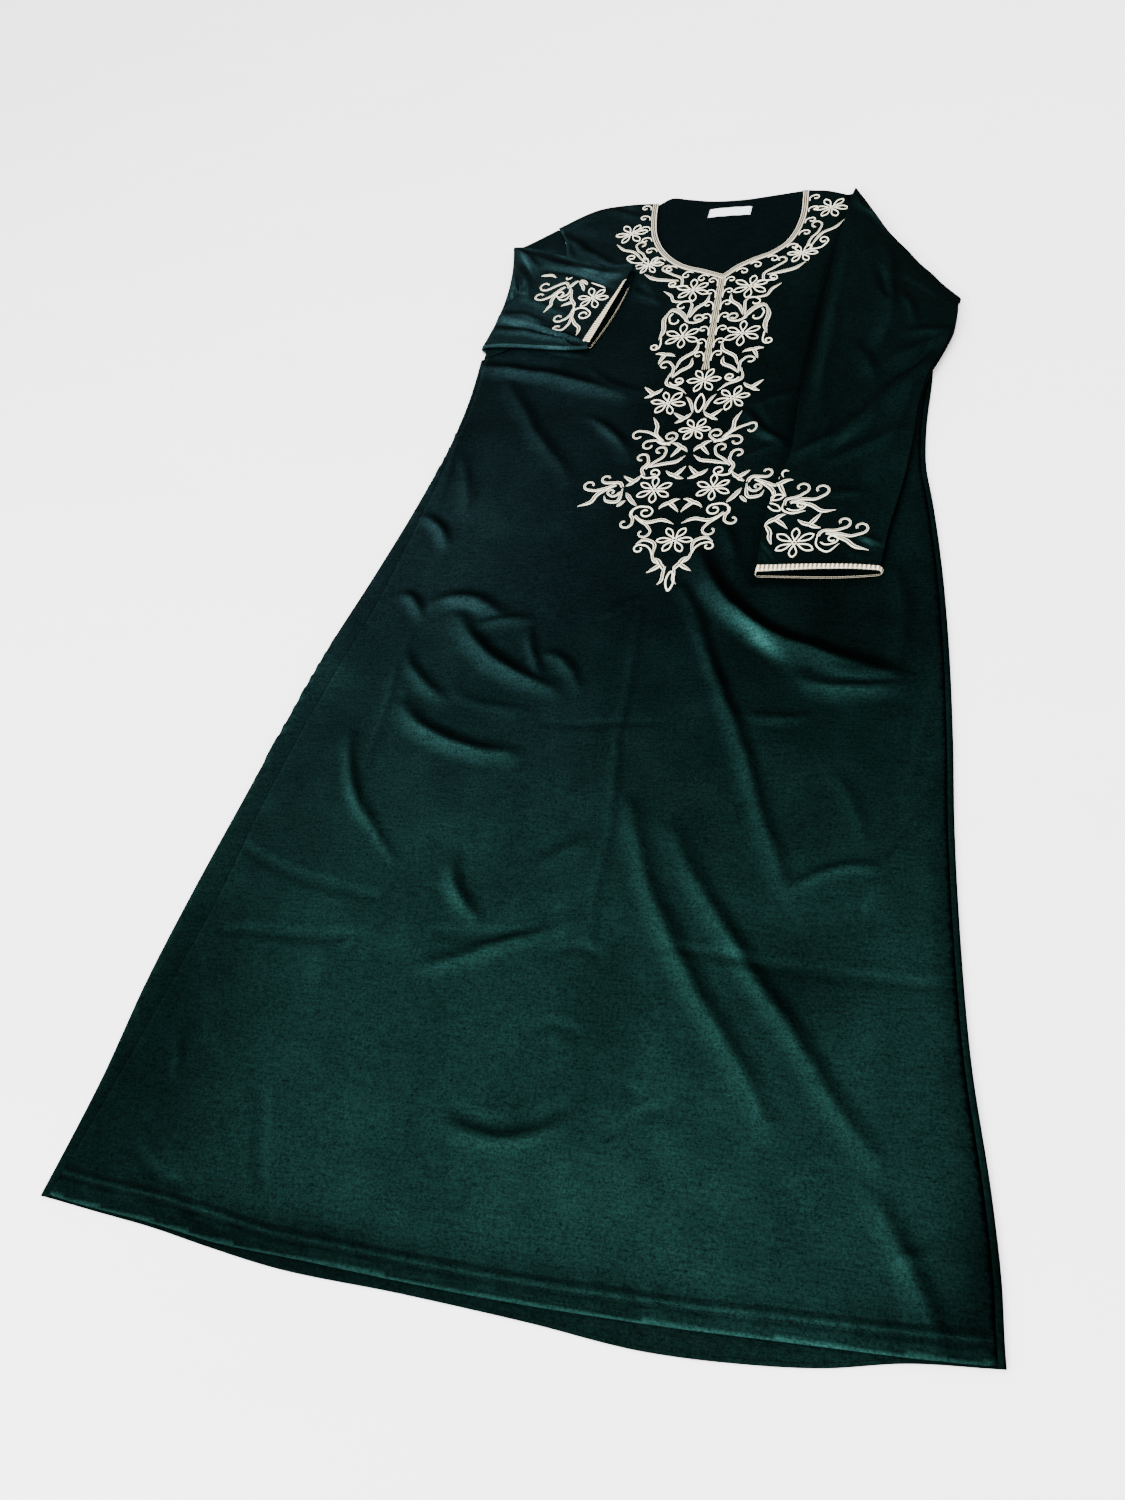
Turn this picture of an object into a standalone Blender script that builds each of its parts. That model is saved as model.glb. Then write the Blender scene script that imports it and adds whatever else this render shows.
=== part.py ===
"""A long-sleeved velvet kaftan laid out flat, as the pieces that are cut and sewn.

Metres, +Z up. The neck points towards +Y and the hem towards -Y. Right and left are the wearer's,
so the right sleeve is at -X. The front lies uppermost on the back, the right sleeve is folded over
the chest and the left one down the front. Tables are given from the centre line and the hem level.
"""

import math
from collections import namedtuple

import bmesh
import bpy
import numpy as np
from mathutils import Vector, geometry

NAME = "moroccan_kaftan"

CLOTH = 0.0012          # velvet, wall thickness
SEAM_GAP = 0.0003       # between pieces where they are sewn
REST_MID = CLOTH / 2    # middle of the cloth that lies on the floor
LIE_MID = 0.0024        # middle of the front where it lies lowest on the back
TOP_SHARES = 13         # places across the upper layer of a flattened sleeve
UNDER_SHARES = 7        # and across the lower one
EDGE_ROLL = 0.0016      # radius, to the middle of the cloth, of the back's turn over a side edge
ROLL_REACH = 0.018      # how far in from a side edge the roundness dies away
UNDERARM = 1.082        # level of both underarms above the hem
SLEEVE_LIFT = 0.0016    # air between a sleeve and the front below it
BRAID = 0.0010          # thickness of the woven cuff braid
BRAID_WIDTH = 0.0100
CORD_HEIGHT = 0.0018    # cords of the neck and the placket
NECK_STEP = 0.009       # between places along the front neckline
PLACKET_TOP = 1.2070
PLACKET_END = 1.0300
LABEL_SIZE = (0.060, 0.026, 0.0006)
LABEL_AT = (-0.0058, 1.3665)
LABEL_TURN = math.radians(-10.6)

# Side edges of the laid body, and how far inside each the side seam lies on the upper side.
Edge = namedtuple("Edge", "up right left right_inset left_inset")
EDGES = (
    Edge(-0.04, -0.450, 0.328, 0.006, 0.005),
    Edge(0.00, -0.444, 0.324, 0.008, 0.005),
    Edge(0.05, -0.437, 0.322, 0.010, 0.005),
    Edge(0.10, -0.431, 0.317, 0.014, 0.005),
    Edge(0.20, -0.425, 0.303, 0.026, 0.005),
    Edge(0.30, -0.413, 0.295, 0.029, 0.005),
    Edge(0.40, -0.398, 0.290, 0.024, 0.005),
    Edge(0.50, -0.383, 0.288, 0.024, 0.005),
    Edge(0.60, -0.366, 0.284, 0.026, 0.005),
    Edge(0.70, -0.343, 0.277, 0.021, 0.005),
    Edge(0.80, -0.322, 0.266, 0.013, 0.005),
    Edge(0.85, -0.313, 0.259, 0.010, 0.005),
    Edge(0.90, -0.305, 0.258, 0.007, 0.005),
    Edge(1.00, -0.298, 0.2635, 0.005, 0.005),
    Edge(1.10, -0.301, 0.263, 0.005, 0.005),
)

# Outline points of a run of edge, as distances across and up. Armholes run from the shoulder down.
Point = namedtuple("Point", "across up")
FRONT_HEM = (
    Point(-0.444, 0.005), Point(-0.390, 0.000), Point(-0.330, -0.004), Point(-0.270, -0.010),
    Point(-0.200, -0.012), Point(-0.100, -0.015), Point(0.000, -0.016), Point(0.100, -0.014),
    Point(0.200, -0.010), Point(0.270, -0.007), Point(0.324, -0.003),
)
BACK_HEM = (
    Point(-0.446, 0.003), Point(-0.390, -0.002), Point(-0.330, -0.007), Point(-0.275, -0.014),
    Point(-0.220, -0.020), Point(-0.100, -0.023), Point(0.000, -0.027), Point(0.085, -0.032),
    Point(0.150, -0.029), Point(0.210, -0.022), Point(0.260, -0.011), Point(0.326, -0.004),
)
RIGHT_ARMHOLE = (
    Point(-0.250, 1.366), Point(-0.231, 1.325), Point(-0.224, 1.270), Point(-0.225, 1.210),
    Point(-0.238, 1.150), Point(-0.262, 1.106), Point(-0.298, 1.085),
)
RIGHT_SHOULDER = (Point(-0.250, 1.366), Point(-0.197, 1.399), Point(-0.150, 1.407), Point(-0.1095, 1.403))
RIGHT_NECK = (
    Point(-0.1095, 1.403), Point(-0.106, 1.360), Point(-0.098, 1.318), Point(-0.085, 1.288),
    Point(-0.067, 1.263), Point(-0.046, 1.245), Point(-0.023, 1.234), Point(0.001, 1.222),
)
LEFT_NECK = (
    Point(0.001, 1.222), Point(0.019, 1.241), Point(0.039, 1.254), Point(0.058, 1.263),
    Point(0.074, 1.278), Point(0.084, 1.300), Point(0.090, 1.330), Point(0.0905, 1.400),
)
LEFT_SHOULDER = (Point(0.0905, 1.400), Point(0.120, 1.392), Point(0.149, 1.377))
LEFT_ARMHOLE = (
    Point(0.149, 1.377), Point(0.181, 1.310), Point(0.207, 1.235), Point(0.236, 1.182),
    Point(0.259, 1.135), Point(0.2605, 1.084),
)
BACK_NECK = (
    Point(-0.1095, 1.403), Point(-0.094, 1.416), Point(-0.068, 1.409), Point(-0.036, 1.399),
    Point(0.010, 1.394), Point(0.055, 1.397), Point(0.0905, 1.400),
)

# Folds that stand on the upper side of the body: a bent line from start by bend to end, the rise
# of its crest and how far the cloth takes to come down beside it.
Fold = namedtuple("Fold", "start_x start_y bend_x bend_y end_x end_y rise spread")
BODY_FOLDS = (
    Fold(0.030, 0.715, 0.085, 0.590, 0.190, 0.552, 0.0110, 0.017),
    Fold(0.150, 0.562, 0.200, 0.540, 0.240, 0.575, 0.0080, 0.015),
    Fold(-0.225, 0.640, -0.175, 0.555, -0.105, 0.540, 0.0085, 0.014),
    Fold(-0.258, 0.658, -0.220, 0.682, -0.165, 0.638, 0.0070, 0.013),
    Fold(-0.185, 0.615, -0.120, 0.665, -0.118, 0.565, 0.0055, 0.011),
    Fold(-0.108, 0.590, -0.090, 0.592, -0.068, 0.550, 0.0045, 0.010),
    Fold(-0.250, 0.508, -0.195, 0.455, -0.125, 0.455, 0.0085, 0.015),
    Fold(-0.265, 0.578, -0.240, 0.545, -0.215, 0.534, 0.0045, 0.011),
    Fold(-0.302, 0.792, -0.270, 0.765, -0.264, 0.682, 0.0055, 0.013),
    Fold(-0.286, 0.672, -0.268, 0.560, -0.272, 0.440, 0.0030, 0.009),
    Fold(-0.306, 0.492, -0.275, 0.405, -0.200, 0.320, 0.0040, 0.011),
    Fold(-0.148, 0.690, -0.125, 0.710, -0.098, 0.775, 0.0030, 0.012),
    Fold(-0.022, 0.645, -0.012, 0.450, 0.000, 0.270, 0.0045, 0.011),
    Fold(0.018, 0.685, 0.095, 0.520, 0.155, 0.330, 0.0055, 0.013),
    Fold(0.008, 0.410, 0.050, 0.270, 0.130, 0.150, 0.0050, 0.015),
    Fold(0.056, 0.390, 0.105, 0.290, 0.165, 0.175, 0.0045, 0.014),
    Fold(-0.296, 1.060, -0.210, 1.030, -0.080, 0.985, 0.0050, 0.017),
    Fold(-0.255, 1.000, -0.210, 0.925, -0.120, 0.842, 0.0045, 0.014),
    Fold(-0.115, 0.936, -0.092, 0.915, -0.070, 0.876, 0.0035, 0.011),
    Fold(-0.160, 0.340, -0.145, 0.305, -0.120, 0.298, 0.0045, 0.012),
    Fold(-0.048, 0.372, -0.078, 0.340, -0.090, 0.285, 0.0035, 0.013),
    Fold(-0.150, 0.262, -0.070, 0.240, -0.010, 0.300, 0.0050, 0.014),
    Fold(-0.375, 0.342, -0.310, 0.296, -0.212, 0.296, 0.0030, 0.010),
    Fold(-0.315, 0.252, -0.212, 0.245, -0.202, 0.318, 0.0030, 0.011),
    Fold(0.282, 0.465, 0.238, 0.390, 0.222, 0.325, 0.0045, 0.010),
    Fold(0.158, 0.338, 0.185, 0.360, 0.232, 0.356, 0.0030, 0.010),
    Fold(-0.092, 0.112, -0.045, 0.088, -0.006, 0.124, 0.0035, 0.013),
    Fold(-0.264, 0.110, -0.270, 0.070, -0.240, 0.036, 0.0030, 0.011),
    Fold(0.245, 0.085, 0.270, 0.050, 0.285, 0.000, 0.0050, 0.016),
    Fold(0.060, 0.940, 0.085, 0.900, 0.110, 0.905, 0.0035, 0.009),
)

# Sections of a flattened sleeve from the armhole to the cuff. Head and tail are the two folded
# edges of the tube. Bow moves the middle of the section outwards, turn is the half turn over the
# fold in degrees, gap parts the middles of the two layers, and height is that of a turned section.
Section = namedtuple("Section", "head_x head_y tail_x tail_y bow height turn gap")
RIGHT_SLEEVE = (
    Section(-0.2520, 1.3655, -0.2985, 1.0870, 0.0000, 0.0016, 180, 0.0018),
    Section(-0.2680, 1.3520, -0.2980, 1.0930, 0.0000, 0.0017, 180, 0.0020),
    Section(-0.2870, 1.3370, -0.2985, 1.0980, -0.0060, 0.0019, 180, 0.0022),
    Section(-0.3040, 1.3270, -0.3000, 1.1000, -0.0110, 0.0019, 180, 0.0024),
    Section(-0.3058, 1.3255, -0.3018, 1.1010, -0.0120, 0.0026, 135, 0.0026),
    Section(-0.3066, 1.3245, -0.3026, 1.1015, -0.0125, 0.0043, 90, 0.0028),
    Section(-0.3058, 1.3235, -0.3018, 1.1020, -0.0125, 0.0061, 45, 0.0030),
    Section(-0.3040, 1.3220, -0.3000, 1.1030, -0.0120, 0.0068, 0, 0.0034),
    Section(-0.2870, 1.3150, -0.2850, 1.1030, -0.0070, 0.0068, 0, 0.0044),
    Section(-0.2550, 1.2990, -0.2560, 1.0990, -0.0040, 0.0068, 0, 0.0050),
    Section(-0.2200, 1.2800, -0.2260, 1.0930, -0.0020, 0.0068, 0, 0.0052),
    Section(-0.1850, 1.2600, -0.1960, 1.0870, 0.0000, 0.0068, 0, 0.0052),
    Section(-0.1500, 1.2490, -0.1720, 1.0840, -0.0010, 0.0068, 0, 0.0052),
    Section(-0.1180, 1.2470, -0.1550, 1.0830, -0.0060, 0.0068, 0, 0.0050),
)
LEFT_SLEEVE = (
    Section(0.1510, 1.3755, 0.2625, 1.0900, 0.0000, 0.0016, 180, 0.0018),
    Section(0.1590, 1.3790, 0.2905, 1.1260, -0.0060, 0.0019, 180, 0.0022),
    Section(0.1606, 1.3798, 0.2921, 1.1268, -0.0065, 0.0026, 135, 0.0026),
    Section(0.1613, 1.3802, 0.2928, 1.1272, -0.0070, 0.0043, 90, 0.0028),
    Section(0.1606, 1.3798, 0.2921, 1.1268, -0.0070, 0.0061, 45, 0.0030),
    Section(0.1590, 1.3780, 0.2905, 1.1240, -0.0070, 0.0068, 0, 0.0034),
    Section(0.1530, 1.3380, 0.2895, 1.0980, -0.0080, 0.0068, 0, 0.0046),
    Section(0.1480, 1.2900, 0.2850, 1.0600, -0.0080, 0.0068, 0, 0.0054),
    Section(0.1410, 1.2200, 0.2720, 1.0200, -0.0060, 0.0068, 0, 0.0056),
    Section(0.1330, 1.1400, 0.2590, 0.9850, -0.0040, 0.0068, 0, 0.0056),
    Section(0.1240, 1.0500, 0.2500, 0.9400, -0.0020, 0.0068, 0, 0.0056),
    Section(0.1190, 0.9600, 0.2460, 0.8900, 0.0000, 0.0068, 0, 0.0054),
    Section(0.1170, 0.8800, 0.2400, 0.8380, 0.0000, 0.0068, 0, 0.0054),
    Section(0.1060, 0.8250, 0.2330, 0.7950, 0.0000, 0.0068, 0, 0.0052),
    Section(0.0970, 0.7700, 0.2250, 0.7500, 0.0000, 0.0068, 0, 0.0052),
    Section(0.0955, 0.6930, 0.2180, 0.6930, 0.0000, 0.0068, 0, 0.0050),
)
RIGHT_SLEEVE_FOLDS = (
    Fold(-0.285, 1.300, -0.200, 1.240, -0.135, 1.226, 0.0035, 0.012),
    Fold(-0.292, 1.160, -0.245, 1.135, -0.175, 1.100, 0.0030, 0.011),
    Fold(-0.290, 1.270, -0.262, 1.235, -0.258, 1.200, 0.0030, 0.011),
)
LEFT_SLEEVE_FOLDS = (
    Fold(0.258, 1.005, 0.210, 0.930, 0.130, 0.868, 0.0040, 0.014),
    Fold(0.212, 1.150, 0.225, 1.080, 0.190, 1.010, 0.0030, 0.014),
    Fold(0.280, 1.052, 0.235, 1.040, 0.200, 1.000, 0.0030, 0.012),
    Fold(0.228, 0.900, 0.185, 0.868, 0.160, 0.850, 0.0030, 0.011),
)

Sleeve = namedtuple("Sleeve", "name side sections armhole folds")
SLEEVES = (
    Sleeve("right", 1.0, RIGHT_SLEEVE, RIGHT_ARMHOLE, RIGHT_SLEEVE_FOLDS),
    Sleeve("left", -1.0, LEFT_SLEEVE, LEFT_ARMHOLE, LEFT_SLEEVE_FOLDS),
)

Colour = namedtuple("Colour", "red green blue roughness")
VELVET = Colour(0.010, 0.042, 0.036, 0.75)
VELVET_INSIDE = Colour(0.008, 0.030, 0.027, 0.85)
CREAM = Colour(0.78, 0.73, 0.60, 0.60)
WHITE = Colour(0.86, 0.86, 0.86, 0.60)


def clear_scene():
    """Empties the file of whatever it opened with."""
    for obj in list(bpy.data.objects):
        bpy.data.objects.remove(obj, do_unlink=True)


def column(rows, name):
    """One named column of a table."""
    return np.array([getattr(row, name) for row in rows], float)


def smooth(keys, values, at):
    """Values between the keys along a cubic that keeps the slope at each key."""
    at = np.clip(np.asarray(at, float), keys[0], keys[-1])
    slopes = np.gradient(values, keys)
    i = np.clip(np.searchsorted(keys, at) - 1, 0, len(keys) - 2)
    span = keys[i + 1] - keys[i]
    t = (at - keys[i]) / span
    return (
        (1 + 2 * t) * (1 - t) ** 2 * values[i]
        + t * (1 - t) ** 2 * span * slopes[i]
        + t * t * (3 - 2 * t) * values[i + 1]
        + t * t * (t - 1) * span * slopes[i + 1]
    )


def curve_through(points, step):
    """Evenly spaced places on the smooth curve through a run of outline points."""
    across, up = column(points, "across"), column(points, "up")
    chord = np.concatenate([[0.0], np.cumsum(np.hypot(np.diff(across), np.diff(up)))])
    count = max(2, int(round(chord[-1] / step)) + 1)
    at = np.linspace(0.0, chord[-1], count)
    return np.stack([smooth(chord, across, at), smooth(chord, up, at)], axis=1)


def shares(count):
    """Places across a flattened sleeve from head to tail, closer together at its edges."""
    lean = 0.13
    return 0.5 - 0.5 * np.cos(np.linspace(lean, math.pi - lean, count))


def armhole(run, at):
    """Places on an armhole at shares of its length from the shoulder."""
    across, up = column(run, "across"), column(run, "up")
    chord = np.concatenate([[0.0], np.cumsum(np.hypot(np.diff(across), np.diff(up)))])
    at = np.asarray(at, float) * chord[-1]
    return np.stack([smooth(chord, across, at), smooth(chord, up, at)], axis=1)


def edge(up, name):
    """A column of the side edge table at any level."""
    return smooth(column(EDGES, "up"), column(EDGES, name), up)


def fold_line(fold, count=14):
    """Places along the bent line of a fold."""
    t = np.linspace(0.0, 1.0, count)[:, None]
    start = np.array([fold.start_x, fold.start_y])
    bend = np.array([fold.bend_x, fold.bend_y])
    end = np.array([fold.end_x, fold.end_y])
    return (1 - t) ** 2 * start + 2 * t * (1 - t) * bend + t * t * end


def fold_rise(folds, across, up):
    """Height that the folds add at each place, with soft sides and ends."""
    place = np.stack([np.ravel(across), np.ravel(up)], axis=1)
    total = np.zeros(len(place))
    for fold in folds:
        line = fold_line(fold)
        first, run = line[:-1], np.diff(line, axis=0)
        offset = place[:, None, :] - first[None]
        along = np.clip((offset * run).sum(2) / (run * run).sum(1), 0.0, 1.0)
        distance = np.linalg.norm(offset - along[..., None] * run, axis=2)
        nearest = distance.argmin(axis=1)
        pick = np.arange(len(place))
        t = (nearest + along[pick, nearest]) / len(run)
        taper = np.sin(np.pi * np.clip(0.08 + 0.84 * t, 0.0, 1.0)) ** 0.7
        side = np.clip(distance[pick, nearest] / (1.6 * fold.spread), 0.0, 1.0)
        total = np.maximum(total, fold.rise * taper * (0.5 + 0.5 * np.cos(np.pi * side)))
    return total.reshape(np.shape(across))


def in_table(sections, across, up):
    """How far inside the folded-over part of a sleeve each place lies, in metres, or below 0."""
    over = [row for row in sections if row.turn == 0]
    ring = [(row.head_x, row.head_y) for row in over]
    ring += [(row.tail_x, row.tail_y) for row in reversed(over)]
    ring = np.array(ring)
    start, run = ring, np.roll(ring, -1, axis=0) - ring
    place = np.stack([np.ravel(across), np.ravel(up)], axis=1)
    offset = place[:, None, :] - start[None]
    along = np.clip((offset * run).sum(2) / (run * run).sum(1), 0.0, 1.0)
    distance = np.linalg.norm(offset - along[..., None] * run, axis=2).min(axis=1)
    y0, y1 = start[:, 1], start[:, 1] + run[:, 1]
    crosses = (y0[None] > place[:, 1:]) != (y1[None] > place[:, 1:])
    at = start[:, 0] + (place[:, 1:] - y0) / np.where(run[:, 1] == 0, 1e-9, run[:, 1]) * run[:, 0]
    inside = (crosses & (place[:, :1] < at)).sum(axis=1) % 2 == 1
    return np.where(inside, distance, -distance).reshape(np.shape(across))


def lie(across, up):
    """Height of the middle of the body's upper cloth over the floor."""
    across, up = np.asarray(across, float), np.asarray(up, float)
    height = np.full(np.broadcast(across, up).shape, LIE_MID)
    for inward in (across - edge(up, "right"), edge(up, "left") - across):
        rise = REST_MID + 2 * EDGE_ROLL - LIE_MID
        away = np.maximum(inward - EDGE_ROLL, 0.0) / ROLL_REACH
        below = np.clip((UNDERARM + 0.03 - up) / 0.03, 0.0, 1.0)
        height = np.maximum(height, LIE_MID + rise * np.exp(-away * away) * below)
    folds = fold_rise(BODY_FOLDS, across, up)
    for sleeve in (RIGHT_SLEEVE, LEFT_SLEEVE):
        folds = folds * np.clip(-in_table(sleeve, across, up) / 0.012, 0.0, 1.0)
    return height + folds * np.clip((edge(up, "left") - across) / 0.02, 0.0, 1.0)


def make_object(name, verts, faces, colour, thickness=None):
    """A mesh object with its own material, thickened to a wall where a thickness is given."""
    mesh = bpy.data.meshes.new(name)
    mesh.from_pydata([tuple(float(c) for c in v) for v in verts], [], faces)
    shape = bmesh.new()
    shape.from_mesh(mesh)
    bmesh.ops.recalc_face_normals(shape, faces=shape.faces)
    shape.to_mesh(mesh)
    shape.free()
    obj = bpy.data.objects.new(name, mesh)
    bpy.data.collections[NAME].objects.link(obj)
    material = bpy.data.materials.new(name + "_finish")
    material.use_nodes = True
    shader = material.node_tree.nodes["Principled BSDF"]
    shader.inputs["Base Color"].default_value = (colour.red, colour.green, colour.blue, 1.0)
    shader.inputs["Roughness"].default_value = colour.roughness
    mesh.materials.append(material)
    if thickness:
        wall = obj.modifiers.new("wall", "SOLIDIFY")
        wall.thickness = thickness
        wall.offset = 0.0
        wall.use_even_offset = True
    return obj


def spread_points(outline, spacing, wanted, seeds):
    """Inner places for a panel, closer together where the wanted spacing is small."""
    low, high = outline.min(axis=0), outline.max(axis=0)
    grid = np.stack(
        np.meshgrid(np.arange(low[0], high[0], spacing), np.arange(low[1], high[1], spacing)), axis=-1
    ).reshape(-1, 2)
    grid[:, 0] += np.where(np.round((grid[:, 1] - low[1]) / spacing) % 2 == 0, 0.0, spacing / 2)
    closed = np.vstack([outline, outline[:1]])
    start, run = closed[:-1], np.diff(closed, axis=0)
    y0, y1 = start[:, 1], closed[1:, 1]
    crosses = (y0[None] > grid[:, 1:]) != (y1[None] > grid[:, 1:])
    at = start[:, 0] + (grid[:, 1:] - y0) / np.where(y1 == y0, 1e-9, y1 - y0) * run[:, 0]
    grid = grid[(crosses & (grid[:, :1] < at)).sum(axis=1) % 2 == 1]
    need = wanted(grid[:, 0], grid[:, 1])
    kept, reach = [p for p in outline], [0.0] * len(outline)
    kept, reach = np.array(kept + list(seeds)), np.array(reach + [0.0] * len(seeds))
    chosen = []
    for i in np.argsort(need, kind="stable"):
        gap = np.hypot(kept[:, 0] - grid[i, 0], kept[:, 1] - grid[i, 1])
        if (gap > np.maximum(0.8 * need[i], reach)).all():
            chosen.append(grid[i])
            kept, reach = np.vstack([kept, grid[i]]), np.append(reach, 0.8 * need[i])
    return chosen


def panel_mesh(outline, inner, lines=()):
    """Triangles over a flat outline, its inner places and the lines along which it bends."""
    points = [Vector(p) for p in np.vstack([outline, np.array(inner).reshape(-1, 2), *lines])]
    count = len(outline)
    edges = [(i, (i + 1) % count) for i in range(count)]
    at = count + len(inner)
    for line in lines:
        edges += [(i, i + 1) for i in range(at, at + len(line) - 1)]
        at += len(line)
    verts, _, faces, _, _, _ = geometry.delaunay_2d_cdt(points, edges, [], 1, 1e-7)
    return np.array([tuple(v) for v in verts]), [tuple(f) for f in faces]


def join_runs(*runs):
    """One closed outline from runs that follow each other, with no place given twice."""
    places = []
    for run in runs:
        for place in run:
            if not places or np.hypot(*(place - places[-1])) > 1e-6:
                places.append(place)
    if np.hypot(*(places[0] - places[-1])) < 1e-6:
        places.pop()
    return np.array(places)


def side_run(name, inset, levels):
    """Places on the upper side seam, offset in from the side edge."""
    sign = 1.0 if name == "right" else -1.0
    return np.stack([edge(levels, name) + sign * inset(levels), levels], axis=1)


def front_outline(step=0.013):
    """The front's edge, anticlockwise from the hem."""
    gap = SEAM_GAP / 2
    hem = curve_through(FRONT_HEM, step)
    levels = np.linspace(0.0, UNDERARM, int(UNDERARM / step / 1.5))
    left = side_run("left", lambda up: edge(up, "left_inset") + gap, levels[1:])
    right = side_run("right", lambda up: edge(up, "right_inset") + gap, levels[1:])
    start = np.array([[edge(0.005, "right") + edge(0.005, "right_inset") + gap, 0.005]])
    end = np.array([[edge(-0.003, "left") - edge(-0.003, "left_inset") - gap, -0.003]])
    hem = hem[(hem[:, 0] > start[0, 0] + 0.004) & (hem[:, 0] < end[0, 0] - 0.004)]
    return join_runs(
        start, hem, end, left, armhole(LEFT_ARMHOLE, shares(UNDER_SHARES))[::-1],
        curve_through(LEFT_SHOULDER[::-1], step), curve_through(LEFT_NECK[::-1], NECK_STEP),
        curve_through(RIGHT_NECK[::-1], NECK_STEP), curve_through(RIGHT_SHOULDER[::-1], step),
        armhole(RIGHT_ARMHOLE, shares(UNDER_SHARES)), right[::-1],
    )


def build_front():
    """Front panel: neckline with a notch, side seams on the upper side, and the largest folds."""
    outline = front_outline()
    slope = 0.004

    def wanted(across, up):
        bend = abs(
            lie(across + slope, up) + lie(across - slope, up)
            + lie(across, up + slope) + lie(across, up - slope) - 4 * lie(across, up)
        ) / slope**2
        return np.clip(0.056 / np.sqrt(bend + 1.0), 0.0130, 0.046)

    inner = spread_points(outline, 0.0052, wanted, [])
    flat, faces = panel_mesh(outline, inner)
    verts = np.column_stack([flat, lie(flat[:, 0], flat[:, 1])])
    return make_object("front_panel", verts, faces, VELVET, CLOTH)


def wrap(pattern):
    """Bends the back's pattern: flat on the floor, round the side edges and in over the top."""
    place = pattern.copy()
    height = np.full(len(pattern), REST_MID)
    turn = math.pi * EDGE_ROLL
    for name, sign in (("right", 1.0), ("left", -1.0)):
        centre = edge(pattern[:, 1], name) + sign * EDGE_ROLL
        past = sign * (centre - pattern[:, 0])
        low = pattern[:, 1] < UNDERARM + 1e-4
        arc = low & (past > 0) & (past <= turn)
        over = low & (past > turn)
        angle = past / EDGE_ROLL
        place[arc, 0] = (centre - sign * EDGE_ROLL * np.sin(angle))[arc]
        height[arc] = (REST_MID + EDGE_ROLL * (1 - np.cos(angle)))[arc]
        place[over, 0] = (centre + sign * (past - turn))[over]
        height[over] = lie(place[over, 0], place[over, 1])
    return np.column_stack([place, height])


def build_back():
    """Back panel: flat underneath, its sides brought over the edges to the seams on top."""
    gap = SEAM_GAP / 2
    turn = math.pi * EDGE_ROLL
    levels = np.linspace(0.0, UNDERARM, 36)

    def side(name, past, rows):
        sign = 1.0 if name == "right" else -1.0
        centre = edge(rows, name) + sign * EDGE_ROLL
        return np.stack([centre - sign * past, rows], axis=1)

    def seam_past(name, rows):
        return turn + edge(rows, name + "_inset") - EDGE_ROLL - gap

    hem = curve_through(BACK_HEM, 0.022)
    inside = (hem[:, 0] > edge(0.0, "right") + 0.006) & (hem[:, 0] < edge(0.0, "left") - 0.006)
    hem = hem[inside]
    corner_right, corner_left = np.array([0.0025]), np.array([-0.004])
    steps = turn * np.linspace(1.0, 0.0, 5)
    hem_start = [side("right", seam_past("right", corner_right), corner_right)]
    hem_start += [side("right", past, corner_right) for past in steps]
    hem_end = [side("left", past, corner_left) for past in steps[::-1]]
    hem_end += [side("left", seam_past("left", corner_left), corner_left)]
    left, right = levels[1:], levels[1:][::-1]
    top = np.array([UNDERARM])
    outline = join_runs(
        *hem_start, hem, *hem_end, side("left", seam_past("left", left), left),
        *[side("left", past, top) for past in steps],
        armhole(LEFT_ARMHOLE, shares(TOP_SHARES))[::-1],
        curve_through(LEFT_SHOULDER[::-1], 0.016),
        curve_through(BACK_NECK[::-1], 0.010),
        curve_through(RIGHT_SHOULDER[::-1], 0.016),
        armhole(RIGHT_ARMHOLE, shares(TOP_SHARES)),
        *[side("right", past, top) for past in steps[::-1]],
        side("right", seam_past("right", right), right),
    )
    lines = []
    for name, foot in (("right", corner_right), ("left", corner_left)):
        rows = np.concatenate([foot, levels[1:]])
        lines += [side(name, past, rows) for past in steps]
    rows = np.concatenate([corner_right, levels[1:]])
    for share in (0.4, 0.8):
        past = turn + share * (edge(rows, "right_inset") - EDGE_ROLL)
        lines.append(side("right", past, rows)[1:-1])
    inner = [
        (across, up) for across in np.linspace(-0.20, 0.18, 5) for up in np.linspace(0.06, 1.30, 9)
    ]
    flat, faces = panel_mesh(outline, inner, lines)
    return make_object("back_panel", wrap(flat), faces, VELVET_INSIDE, CLOTH)


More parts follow.
